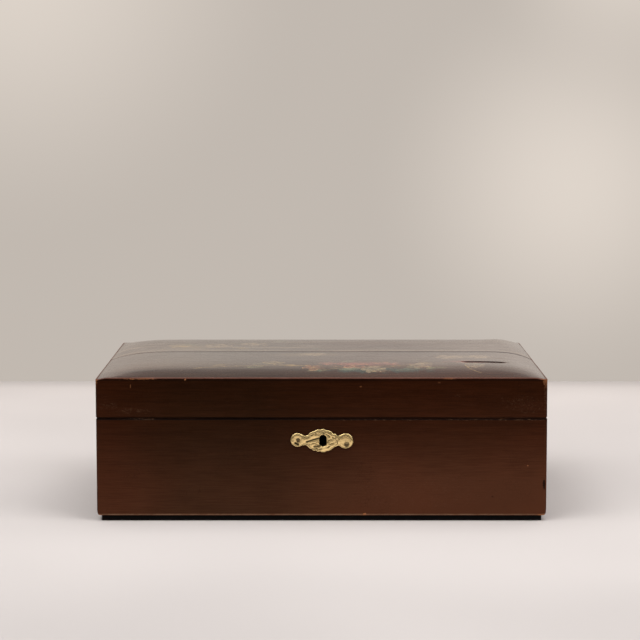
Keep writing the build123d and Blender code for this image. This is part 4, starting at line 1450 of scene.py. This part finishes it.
@dataclass
class Lid:
    """The lid's skin: sides, cushion-shaped top and plain inside.

    Lengths are in mm: the rounds of rim and arris, the step at the joint, the lift of the front arris, how much
    flatter the rear is, the warp of its right corner, and the place of the short split with its two lips.
    """

    left: float = -165.0
    right: float = 164.85
    rim_round: float = 0.7
    arris_round: float = 0.6
    step: float = 0.22
    lift: float = 0.95
    flatter: float = 0.45
    warp: float = 0.55
    split: float = -67.0
    sunk: float = 0.5
    raised: float = 0.16

    def _lifted(self, x: np.ndarray, y: np.ndarray) -> np.ndarray:
        """How much higher than the ends' arris the front's runs: lift * (1 - u / shoulder) ** 3, less near the corners.

        Args:
            x: Places across.
            y: Places in depth.

        Returns:
            Heights in mm.
        """
        ends = smoothstep(0.6, 9.0, np.minimum(x - self.left, self.right - x))
        return self.lift * ends * (1 - np.clip((y - P.front) / P.shoulder, 0, 1)) ** 3

    def _cushion(self, sheet: Sheet, x: np.ndarray, y: np.ndarray) -> tuple[np.ndarray, np.ndarray]:
        """The smooth top before it aged.

        Height is arris - round * (1 - sqrt(1 - (1 - d / round) ** 2)) at a distance d from the outline, plus
        dome * g(x) * g(y) with g(u) = 1 - (1 - u / shoulder) ** 4. The shoulder is shorter towards the rear, most of
        all on the right, where the rear board has warped up, and that corner stands 0.55 mm higher still.

        Args:
            sheet: The plan.
            x: Places across.
            y: Places in depth.

        Returns:
            Heights, and distances from the outline.
        """
        centre_x = np.clip(x, sheet.left + sheet.corner, sheet.right - sheet.corner)
        centre_y = np.clip(y, sheet.front + sheet.corner, sheet.back - sheet.corner)
        in_corner = (x != centre_x) & (y != centre_y)
        straight = np.minimum.reduce([x - sheet.left, sheet.right - x, y - sheet.front, sheet.back - y])
        away = np.where(in_corner, sheet.corner - np.hypot(x - centre_x, y - centre_y), straight)
        away = np.clip(away, 0, None)
        share = np.clip(1 - away / self.arris_round, 0, 1)
        drop = self.arris_round * (1 - np.sqrt(np.clip(1 - share * share, 0, 1)))
        rear = smoothstep(-60, 40, y)
        left_share = (x - sheet.left) / (P.shoulder - 12 * rear)
        right_share = (sheet.right - x) / (P.shoulder - 10 - 30 * rear)
        end_share = np.clip(np.minimum(left_share, right_share), 0, 1)
        side_share = np.clip(np.minimum(y - sheet.front, sheet.back - y) / P.shoulder, 0, 1)
        swell = (1 - (1 - end_share) ** 4) * (1 - (1 - side_share) ** 4)
        height = Z.arris - drop + (Z.dome - self.flatter * rear) * swell
        height += self._lifted(x, y) + self.warp * np.exp(-((x - 143) / 9) ** 2 - ((y - 78) / 22) ** 2)
        return height, away

    def _joint(self, x: np.ndarray, off: np.ndarray) -> tuple[np.ndarray, np.ndarray]:
        """The joint of the two boards, open in places: the front board sinks towards it, step * exp(off / 9).

        Args:
            x: Places across.
            off: Distances behind the joint.

        Returns:
            How far the surface lies lower, and how open the joint is.
        """
        line = np.column_stack([x, 0 * x, 0 * x])
        share = 0.35 + 0.65 * smoothstep(0.25, 0.7, cloudiness(line, 17.0, 50))
        share *= smoothstep(-156, -112, x) * (0.55 + 0.45 * smoothstep(168, 120, x))
        gap = np.exp(-(off / 0.2) ** 2) * share
        lip = self.step * np.where(off < 0, np.exp(off / 9), 0)
        return lip + 0.55 * gap + 0.14 * np.exp(-(off / 1.3) ** 2), gap

    def _short_split(self, x: np.ndarray, off: np.ndarray) -> tuple[np.ndarray, np.ndarray]:
        """The short split in the front board: the surface in front of it sinks, and behind it stands up a little.

        Args:
            x: Places across.
            off: Distances behind the split.

        Returns:
            How far the surface lies higher, and the split's mask.
        """
        share = smoothstep(103.0, 109.0, x) * smoothstep(140.5, 134.0, x)
        front = -self.sunk * smoothstep(0.45, -0.45, off) * np.exp(-np.clip(-off, 0, None) / 8)
        behind = self.raised * smoothstep(-0.45, 0.45, off) * np.exp(-np.clip(off, 0, None) / 7)
        rise = share * (front + behind - 0.25 * np.exp(-(off / 0.4) ** 2))
        return rise, share * smoothstep(0.95, 0.5, np.abs(off))

    def _top(self, sheet: Sheet) -> tuple[np.ndarray, np.ndarray, np.ndarray, np.ndarray]:
        """The top's points: the cushion less its wobble, its wear, the joint and the split, kept below the CAD's crown.

        Args:
            sheet: The plan.

        Returns:
            Points, nearness to the arris, wear, and the mask of the joint and the split.
        """
        across, along = np.meshgrid(sheet.columns, sheet.rows)
        across, along = across.ravel(), along.ravel()
        x, y, _, _ = sheet.rounded(across, along)
        height, away = self._cushion(sheet, x, y)
        flat = np.column_stack([x, y, np.full(len(x), Z.arris)])
        ends = np.minimum(x - sheet.left, sheet.right - x)
        near = np.maximum(np.exp(-(away / 0.95) ** 2), np.exp(-(ends / 1.5) ** 2))
        wear = worn(flat, LID_SCARS)
        line = np.column_stack([x, 0 * x, 0 * x])
        wander = 0.5 * (cloudiness(line, 21.0, 40) - 0.5) * np.exp(-((y - P.joint) / 8) ** 2)
        drop, gap = self._joint(x, along - P.joint)
        rise, split = self._short_split(x, along - self.split)
        height += rise - drop - wobble(flat, 11) * 1.2 * (1 - near) - 0.7 * chipped(flat, near, wear, 21)
        height = np.minimum(height, Z.arris + Z.dome - 0.02)
        crack = np.maximum(np.clip(1.1 * gap - 0.15, 0, 1), split)
        return np.column_stack([x, y + wander, height]), near, wear, crack

    def build(self, outside: bpy.types.Material, top: bpy.types.Material,
              inside: bpy.types.Material) -> bpy.types.Object:
        """Makes the skin: the top's grid, rings down the walls, across the rim and up the inside, and the ceiling.

        Args:
            outside: The lacquer of the sides.
            top: The painted lacquer.
            inside: The bare wood.

        Returns:
            The piece.
        """
        steps, _ = arc_steps(self.arris_round, 5)
        inner_x = graded(self.left + self.arris_round, self.right - self.arris_round, coarse=1.9, fine=0.45, margin=7.0)
        front_y = graded(P.front + self.arris_round, P.joint - 1.6, coarse=2.6, fine=0.5, margin=7.0)
        fine_y = self.split + np.array([-0.95, -0.5, 0, 0.5, 0.95])
        front_y = np.union1d(front_y[np.abs(front_y - self.split) > 1.6], fine_y)
        back_y = graded(P.joint + 1.6, P.back - self.arris_round, coarse=3.2, fine=0.5, margin=7.0)
        half_crack = np.array([0.1, 0.2, 0.33, 0.5, 0.75, 1.1])
        crack = P.joint + np.concatenate([-half_crack[::-1], [0], half_crack])
        columns = np.concatenate([self.left + steps[:-1], inner_x, self.right - steps[:-1][::-1]])
        rows = np.concatenate([P.front + steps[:-1], front_y, crack, back_y, P.back - steps[:-1][::-1]])
        sheet = Sheet(self.left, self.right, P.front, P.back, P.corner, columns, rows)
        points, near, wear, gap = self._top(sheet)
        square, rim, out = sheet.ring()
        count = len(rim)
        border = sheet.ring_numbers()
        walls_z = graded(Z.lid + self.rim_round, Z.arris - self.arris_round, coarse=4.0, fine=0.5, margin=7.0)
        rim_in, rim_up = arc_steps(self.rim_round, 4)
        levels = [(0.0, float(height)) for height in walls_z[-2:0:-1]]
        levels += [(float(a), Z.lid + self.rim_round - float(b)) for a, b in zip(rim_in, rim_up)]
        sides, side_near, side_wear = walls_ring(levels, sheet, 30, LID_SCARS, (Z.arris - 0.1, Z.lid), 0.6)
        share = smoothstep(92.0, Z.arris - self.arris_round, sides[:, 2])
        sides[:, 2] += self._lifted(sides[:, 0], sides[:, 1]) * share
        edge_near = np.exp(-(0.5 / 0.6) ** 2)
        push = wobble(points[border], 30) * 0.5 + chipped(points[border], np.full(count, edge_near), wear[border], 35)
        points[border, :2] -= out * push[:, None]
        inner = inner_ring(sheet, square)
        rim_inner = at_height(inner, Z.lid)
        lane = LANE * sides[-count:] + (1 - LANE) * rim_inner
        every = np.vstack([points, sides, lane, rim_inner, at_height(inner, Z.ceiling)])
        start = len(points)
        numbers = [border] + [start + np.arange(count) + count * i for i in range(len(levels) + 3)]
        faces = np.vstack([sheet.faces(), strips(numbers, False)[:, ::-1]]).tolist()
        faces.append(numbers[-1][::-1].tolist())
        made = mesh_object("lid_skin", every, faces, 40)
        zeros = np.zeros(3 * count)
        give_values(made, "near", np.concatenate([near, side_near, zeros]))
        give_values(made, "worn", np.concatenate([wear, side_wear, zeros]))
        give_values(made, "gap", np.concatenate([gap, np.zeros(len(sides)), zeros]))
        for material in (outside, top, inside):
            made.data.materials.append(material)
        self._paint_faces(made)
        carve(made, self._cutters())
        for node in ("lid_front", "lid_back", "lid_left_end", "lid_right_end", "lid_top_front_board",
                     "lid_top_rear_board"):
            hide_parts(node)
        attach(made, "lid")
        return made

    def _paint_faces(self, made: bpy.types.Object) -> None:
        """Gives the top the painting and the inside the bare wood."""
        centres, ways, inside = faces_of(made)
        inside &= centres[:, 2] < Z.ceiling + SLACK
        top = ~inside & (ways[:, 2] > 0.3) & (centres[:, 2] > Z.ceiling)
        numbers = np.where(inside, 2, np.where(top, 1, 0))
        made.data.polygons.foreach_set("material_index", numbers.astype(np.int32))

    def _cutters(self) -> list[bpy.types.Object]:
        """Seats for the link plate and the hinge leaves, from the CAD nodes' boxes."""
        heights = (Z.lid - 1, Z.lid + LEAF + 0.02)
        low, high = in_mm(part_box("link_plate"))
        cutters = [seat("link_seat_cut", low, high, (low[1] - PLAY, high[1] + PLAY), heights)]
        for side in ("left", "right"):
            low, high = in_mm(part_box(f"hinge_{side}_lid_leaf"))
            cutters.append(seat(f"{side}_lid_seat_cut", low, high, (low[1] - PLAY, P.back + 2), heights))
        return cutters


# ---------------------------------------------------------------- brass, iron and steel pieces


@dataclass
class Escutcheon:
    """The cast brass plate round the keyhole: two round ends, a scalloped middle, leaves in low relief."""

    thickness: float = 0.95
    hole_round: float = 2.68
    hole_half: float = 1.65
    cell: float = 0.2
    left_end: tuple[float, float, float] = (-17.6, 0.5, 5.15)
    right_end: tuple[float, float, float] = (17.5, -0.2, 5.65)
    cuts: tuple[tuple[float, ...], ...] = (
        (-11.0, -0.7, -2.2, 2.0, 0.75, 0.26), (-6.5, -1.6, -2.6, -2.6, 0.6, 0.12), (-5.4, -4.2, -1.2, -3.7, 1.1, 0.17),
        (-8.6, 3.6, -6.0, 4.7, 0.42, 0.22), (-0.6, 6.8, 1.5, 6.2, 0.36, 0.26), (1.2, 6.0, 1.4, 4.8, 0.36, 0.26),
        (3.4, 4.7, 5.9, 3.3, 0.5, 0.24), (11.3, 0.8, 11.5, -1.7, 0.42, 0.26), (6.4, -2.4, 9.0, -1.5, 0.34, 0.18),
        (4.4, -5.0, 5.6, -4.0, 0.4, 0.2), (-1.7, -6.2, 0.2, -5.8, 0.42, 0.22), (-4.0, -5.2, -2.6, -6.1, 0.4, 0.2),
        (7.6, 3.0, 9.4, 2.0, 0.36, 0.16), (-19.2, -1.6, -17.2, -2.6, 1.1, 0.24), (-13.4, 2.6, -10.6, 1.9, 0.5, 0.13),
        (18.2, -2.9, 18.4, -2.7, 2.5, 0.26), (-17.1, 0.7, -17.2, -0.3, 1.6, 0.2), (-4.6, 6.2, -3.6, 5.2, 0.36, 0.16),
    )

    def _inside(self, x: np.ndarray, z: np.ndarray) -> np.ndarray:
        """Distance to the plate's outline, negative inside.

        The outline is the soft union of the round ends, a bar between them and a body whose size is
        (|x / a| ** 1.7 + |z / b| ** 1.7) ** (1 / 1.7), with small scallops |sin(8 * angle)| and nicks:
        min(a, b) - k * max(1 - |a - b| / k, 0) ** 2 / 4.

        Args:
            x: Places along the box, from the plate's middle.
            z: Heights from the plate's middle.

        Returns:
            The distances in mm.
        """
        def soft(a: np.ndarray, b: np.ndarray, k: float) -> np.ndarray:
            """The soft union of two distances."""
            return np.minimum(a, b) - k * np.clip(1 - np.abs(a - b) / k, 0, None) ** 2 / 4

        ends = [np.hypot(x - cx, z - cz) - radius for cx, cz, radius in (self.left_end, self.right_end)]
        bar = np.maximum(np.abs(x) - 17, np.abs(z - 0.2) - 2.7)
        size = (np.abs(x / 12.6) ** 1.7 + np.abs(z / 8.55) ** 1.7) ** (1 / 1.7)
        angle = np.arctan2(z * 1.25, x)
        nicks = 0.7 * cloudiness(np.column_stack([x, 0 * x, z]), 1.2, 71) - 0.15
        body = (size - 1) * 7.6 - 0.42 * np.abs(np.sin(8 * angle + 0.7 * np.sin(3 * angle))) + nicks
        return soft(soft(np.minimum(*ends), bar, 2.6), body, 2.2)

    def _keyhole(self, x: np.ndarray, z: np.ndarray) -> np.ndarray:
        """Distance to the keyhole, an upright slot with round ends, negative inside."""
        return np.hypot(x - KEYHOLE_X, np.maximum(np.abs(z) - self.hole_half, 0)) - self.hole_round

    def _relief(self, x: np.ndarray, z: np.ndarray, edge: np.ndarray) -> tuple[np.ndarray, np.ndarray]:
        """Height of the casting above its floor, and how deep its hollows are, with a painted shade along its upper
        edges.

        The plate swells from its outline like a cushion, with a thin lip, a collar round the keyhole and soft leaves
        |cos(5 * angle)| round it. Each cut is a groove depth * exp(-(distance to its line / width) ** 2).

        Args:
            x: Places along the box.
            z: Heights.
            edge: Distance inside the outline.

        Returns:
            The heights in mm, 0 to about 0.6, and the hollows with a painted shade along the upper edges, 0 to 1.
        """
        hole = self._keyhole(x, z)
        swell = 0.4 * (1 - (1 - np.clip(edge / 2.6, 0, 1)) ** 3)
        lip = 0.19 * np.exp(-((edge - 0.42) / 0.26) ** 2) * smoothstep(2.5, -1.5, z)
        collar = 0.12 * np.exp(-((hole - 0.6) / 0.4) ** 2)
        angle = np.arctan2(z, (x - KEYHOLE_X) * 0.74)
        field_share = smoothstep(0.6, 2.0, edge) * smoothstep(1.0, 2.4, hole) * smoothstep(12.5, 9.0, np.abs(x))
        leaves = 0.055 * (np.abs(np.cos(5 * angle + 0.5 * np.sin(hole * 0.9))) - 0.5) * field_share
        height, hollow = swell + lip + collar + leaves, np.clip(-4 * leaves, 0, 0.2)
        for x0, z0, x1, z1, width, depth in self.cuts:
            size = (x1 - x0) ** 2 + (z1 - z0) ** 2
            along = np.clip(((x - x0) * (x1 - x0) + (z - z0) * (z1 - z0)) / size, 0, 1)
            away = np.hypot(x - x0 - along * (x1 - x0), z - z0 - along * (z1 - z0))
            cut = np.exp(-(away / width) ** 2)
            height -= depth * cut
            hollow = np.maximum(hollow, np.clip(5.0 * depth, 0, 1) * cut)
        # Painted shade along the plate's upper edges, carried with the hollows.
        rim_shade = 0.9 * smoothstep(0.5, 0.05, edge) * smoothstep(-2.0, 2.0, z)
        flat = np.column_stack([x, 0 * x, z])
        uneven = 0.3 * (cloudiness(flat, 3.4, 72) - 0.5) * smoothstep(0.2, 1.5, edge)
        height += 0.05 * cloudiness(flat, 0.9, 70) + uneven
        return height, np.maximum(hollow, rim_shade)

    def build(self, metal: bpy.types.Material) -> bpy.types.Object:
        """Makes the plate: a grid cut to the outline, its border moved onto it, with a flat closed back.

        Args:
            metal: The brass.

        Returns:
            The piece.
        """
        xs, zs = np.arange(-23.9, 24.4, self.cell), np.arange(-9.2, 9.3, self.cell)
        x, z = (part.ravel().copy() for part in np.meshgrid(xs, zs))
        grid = np.arange(len(x)).reshape(len(zs), len(xs))
        quads = np.stack([grid[:-1, :-1], grid[:-1, 1:], grid[1:, 1:], grid[1:, :-1]], axis=-1).reshape(-1, 4)

        def distance(px: np.ndarray, pz: np.ndarray) -> np.ndarray:
            """Distance to the cut plate, negative inside: the larger of the outline's and minus the keyhole's."""
            return np.maximum(self._inside(px, pz), -self._keyhole(px, pz))

        away = distance(x, z)
        kept = quads[(away[quads] < 0).sum(axis=1) >= 3]
        step = 0.02
        used = np.unique(kept)
        whole = np.bincount(kept.ravel(), minlength=len(x))
        rim = used[whole[used] < 4]
        for _ in range(4):
            here = distance(x[rim], z[rim])
            slope_x = (distance(x[rim] + step, z[rim]) - distance(x[rim] - step, z[rim])) / (2 * step)
            slope_z = (distance(x[rim], z[rim] + step) - distance(x[rim], z[rim] - step)) / (2 * step)
            size = np.maximum(np.hypot(slope_x, slope_z), 0.3)
            x[rim] -= np.clip(here / size, -0.15, 0.15) * slope_x / size
            z[rim] -= np.clip(here / size, -0.15, 0.15) * slope_z / size
        fresh = np.full(len(x), -1)
        fresh[used] = np.arange(len(used))
        kept = fresh[kept]
        x, z = x[used], z[used]
        edge = np.clip(-self._inside(x, z), 0, None)
        rise, hollow = self._relief(x, z, edge)
        height = self.thickness + rise
        lip = np.clip(-distance(x, z) / 0.35, 0, 1)
        height -= 0.3 * (1 - np.sqrt(np.clip(1 - (1 - lip) ** 2, 0, 1)))
        count = len(x)
        front = np.column_stack([x, P.front - height, z + KEYHOLE_Z])
        rear = np.column_stack([x, np.full(count, P.front), z + KEYHOLE_Z])
        sides = np.vstack([kept[:, [i, (i + 1) % 4]] for i in range(4)])
        order = {tuple(side) for side in sides.tolist()}
        border = np.array([side for side in sides.tolist() if (side[1], side[0]) not in order])
        walls = np.column_stack([border[:, 1], border[:, 0], border[:, 0] + count, border[:, 1] + count])
        faces = np.vstack([kept, kept[:, ::-1] + count, walls]).tolist()
        made = mesh_object("keyhole_plate", np.vstack([front, rear]), faces, 55)
        give_values(made, "hollow", np.concatenate([hollow, np.ones(count)]))
        made.data.materials.append(metal)
        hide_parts("escutcheon")
        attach(made, "case")
        return made


@dataclass
class Fittings:
    """The CAD nodes whose shapes are kept: each gets its own aged finish."""

    nodes: dict[str, bpy.types.Object]

    def dress(self, names: Sequence[str], material: bpy.types.Material) -> None:
        """Gives one material to some nodes.

        Args:
            names: Node names.
            material: Their finish.
        """
        for name in names:
            data = self.nodes[name].data
            data.materials.clear()
            data.materials.append(material)

    def all(self, effects: Effects) -> None:
        """Dresses every kept node.

        Args:
            effects: The shared groups.
        """
        sides = ("left", "right")
        brown, black = (0.20, 0.105, 0.035), (0.035, 0.022, 0.012)
        screw = Metal("screw brass", (0.58, 0.38, 0.15), (0.24, 0.13, 0.05), black, 0.3, Tone.OLD)
        # The lock's parts behind the keyhole get the keyhole's painted shade.
        lock = Metal("lock brass", (0.60, 0.41, 0.17), (0.26, 0.15, 0.055), black, 0.38, Tone.KEPT, keyhole_shaded=True)
        finishes = (
            (Metal("hinge brass", (0.62, 0.40, 0.15), brown, black, 0.34, Tone.WORN),
             [f"hinge_{side}_{half}_leaf" for side in sides for half in ("case", "lid")]),
            (Metal("hinge pin brass", (0.55, 0.36, 0.14), brown, black, 0.3, Tone.WORN),
             [f"hinge_{side}_pin" for side in sides]),
            (screw, [f"hinge_{side}_{half}_screws" for side in sides for half in ("case", "lid")]
             + ["lock_plate_screws", "link_plate_screws"]),
            (lock, ["lock_plate", "lock_case", "link_plate", "lock_bolt"]),
            (Metal("round pin brass", (0.2, 0.145, 0.07), (0.08, 0.055, 0.028), black, 0.4, Tone.OLD),
             ["escutcheon_pins"]),
            (Metal("nail iron", (0.16, 0.15, 0.14), (0.11, 0.05, 0.025), (0.05, 0.018, 0.008), 0.55, Tone.OLD),
             ["bottom_nails"]),
            (Metal("spring steel", (0.42, 0.41, 0.40), (0.14, 0.12, 0.11), (0.08, 0.035, 0.015), 0.32, Tone.KEPT),
             ["bolt_spring"]),
            (PlainWood("dowel wood", linear(196, 158, 112), linear(148, 108, 70), (1.0, 1.0, 0.1)),
             ["lid_top_dowels", "lid_joint_dowels"]),
            # Its edge under the walls is near black: painted shade under the box's foot.
            (PlainWood("bottom board", linear(140, 92, 58), linear(104, 63, 38), BOARDS, below=linear(5, 3, 2)),
             ["case_bottom"]),
        )
        for finish, names in finishes:
            self.dress(names, finish.dress(effects))


# ---------------------------------------------------------------- the studio


@dataclass
class Studio:
    """Camera, pale table, backdrop and soft light."""

    backdrop: Colour = linear(200, 191, 182)
    table: Colour = linear(204, 197, 194)
    table_start: float = -500.0
    table_end: float = 627.0
    side: float = 3000.0
    wall_top: float = 460.0
    eye: Point = (-1.17, -1624.75, 315.5)
    pitch: float = 6.3
    lens: float = 117.85
    aim: Point = (0.0, 0.0, 60.0)

    def camera(self) -> None:
        """The photograph's view: 1.5 m in front of the box, 6.3 degrees down, a long lens."""
        data = bpy.data.cameras.new("camera")
        data.lens, data.sensor_width, data.sensor_fit = self.lens, 36.0, "HORIZONTAL"
        data.clip_start, data.clip_end = 0.05, 60.0
        made = bpy.data.objects.new("camera", data)
        made.location = times(self.eye, MM)
        made.rotation_euler = (math.radians(90 - self.pitch), 0, 0)
        bpy.context.scene.collection.objects.link(made)
        bpy.context.scene.camera = made

    def _plane(self, name: str, corners: Sequence[Point]) -> bpy.types.Object:
        """A flat stage piece between four corners in mm."""
        made = mesh_object(name, np.array(corners, float), [[0, 1, 2, 3]])
        return made

    def floor(self) -> None:
        """The pale table, up to the backdrop, with painted shade towards the backdrop and towards the front."""
        side, start, end = self.side, self.table_start, self.table_end
        made = self._plane("table", [(-side, start, 0), (side, start, 0), (side, end, 0), (-side, end, 0)])
        material, tree, shader = new_material("table paint")
        cloud = tree.noise(tree.place(), 0.0022, 2.0, 0.5)
        tinted = tree.blend(tree.span(cloud, 0.35, 0.7), times(self.table, 0.9), self.table)
        y = tree.split(tree.place())[1]
        # Painted shade: darker where the table meets the backdrop, and darker towards the front.
        share = tree.span(y, end - 60.0, end, 1.0, 0.85) * tree.span(y, start + 60.0, -180.0, 0.9, 1.0)
        tree.put(shader.inputs["Base Color"], tree.scaled(tinted, share))
        shader.inputs["Roughness"].default_value = 0.75
        shader.inputs["Specular IOR Level"].default_value = 0.2
        made.data.materials.append(material)

    def wall(self) -> None:
        """The backdrop behind the table, with painted pools of light: it glows for camera and reflections, clear from
        behind.
        """
        side, end, top = self.side, self.table_end, self.wall_top
        made = self._plane("backdrop", [(-side, end, 0), (side, end, 0), (side, end, top), (-side, end, top)])
        material, tree, shader = new_material("backdrop paint")
        place = tree.place()
        shade: Any = times(self.backdrop, 0.93)
        # Painted pools of light on the backdrop, lighter than its base.
        for x, z, reach in ((270.0, 215.0, 230.0), (-330.0, 470.0, 330.0), (330.0, 480.0, 180.0)):
            away = tree.length(place - (x, end, z))
            shade = tree.blend(tree.fall(away, 0.0, reach), shade, times(self.backdrop, 1.27))
        tree.put(shader.inputs["Base Color"], shade)
        shader.inputs["Roughness"].default_value = 0.9
        shader.inputs["Specular IOR Level"].default_value = 0.0
        glow = tree.fill(tree.add("ShaderNodeEmission"), (0,), (shade,))
        path = tree.add("ShaderNodeLightPath").outputs
        seen = tree.most(path["Is Camera Ray"], path["Is Glossy Ray"], path["Is Transmission Ray"])
        lit = tree.fill(tree.add("ShaderNodeMixShader"), range(3), (seen, shader.outputs[0], glow))
        behind = tree.add("ShaderNodeNewGeometry").outputs["Backfacing"]
        clear = tree.add("ShaderNodeBsdfTransparent").outputs[0]
        whole = tree.fill(tree.add("ShaderNodeMixShader"), range(3), (behind, lit, clear))
        output = next(node for node in tree.tree.nodes if node.bl_idname == "ShaderNodeOutputMaterial")
        tree.put(output.inputs["Surface"], whole)
        made.data.materials.append(material)

    def lights(self) -> None:
        """A soft even sky and three large soft lamps."""
        world = bpy.data.worlds.new("studio air")
        world.use_nodes = True
        tree = Tree(world.node_tree)
        ground = next(node for node in world.node_tree.nodes if node.bl_idname == "ShaderNodeBackground")
        up = tree.split(tree.add("ShaderNodeTexCoord").outputs["Generated"])[2]
        air = tree.blend(tree.span(up, -0.06, 0.1), (0.05, 0.045, 0.04), (0.31, 0.3, 0.29))
        seen = tree.add("ShaderNodeLightPath").outputs["Is Camera Ray"]
        tree.put(ground.inputs["Color"], tree.blend(seen, air, self.backdrop))
        ground.inputs["Strength"].default_value = 1.0
        bpy.context.scene.world = world
        self._lamp("left lamp", (-1500, -1300, 2300), 2200, 41.0)
        self._lamp("right lamp", (1800, -1100, 2000), 2000, 38.0)
        self._lamp("ceiling lamp", (0, -200, 2500), 2600, 46.0)

    def _lamp(self, name: str, place: Point, size: float, power: float) -> None:
        """A square area lamp that faces the box's middle, with its size in mm and its power in watts."""
        data = bpy.data.lights.new(name, "AREA")
        data.shape, data.size, data.energy = "SQUARE", size * MM, power
        made = bpy.data.objects.new(name, data)
        made.location = times(place, MM)
        made.rotation_euler = (Vector(self.aim) - Vector(place)).to_track_quat("-Z", "Y").to_euler()
        bpy.context.scene.collection.objects.link(made)

    def build(self) -> None:
        """Sets everything up."""
        self.camera()
        self.floor()
        self.wall()
        self.lights()
        bpy.context.scene.view_settings.view_transform = "Standard"


def report(made: bpy.types.Object) -> None:
    """Logs a piece's name and size."""
    size = [round(part / MM, 1) for part in made.dimensions]
    log.info("%s: %d faces, %s mm", made.name, len(made.data.polygons), size)


def main() -> None:
    """Builds the studio, the wooden skins, the keyhole plate and the finishes of the kept nodes."""
    logging.basicConfig(level=logging.INFO, format="%(name)s: %(message)s")
    Studio().build()
    effects = Effects()
    case_side = Lacquer("case lacquer", WALLS, 92.0, spots=CASE_SPOTS, foot=5.0)
    lid_side = Lacquer("lid lacquer", WALLS, 105.0, spots=LID_SPOTS)
    # The top's lacquer is lighter and warmer than the sides': painted light, for the warm sheen of the top at a low
    # angle.
    lid_top = PaintedTop("lid top lacquer", BOARDS, 50.0, rough=0.15, deep=linear(50, 26, 15), warm=linear(72, 42, 26),
                         gloss=0.4, coat=0.55, relief=0.025)
    light, dark = linear(146, 96, 61), linear(110, 67, 40)
    inside = PlainWood("case wood", light, dark, WALLS)
    lid_inside = PlainWood("lid wood", light, dark, BOARDS, joint=P.joint)
    report(Case().build(case_side.dress(effects), inside.dress(effects)))
    report(Lid().build(lid_side.dress(effects), lid_top.dress(effects), lid_inside.dress(effects)))
    cast = Metal("cast brass", (1.0, 0.74, 0.34), (0.40, 0.25, 0.09), (0.035, 0.026, 0.012), 0.22, Tone.CLEAN, True)
    report(Escutcheon().build(cast.dress(effects)))
    Fittings(frame["nodes"]).all(effects)


if __name__ == "__main__":
    main()
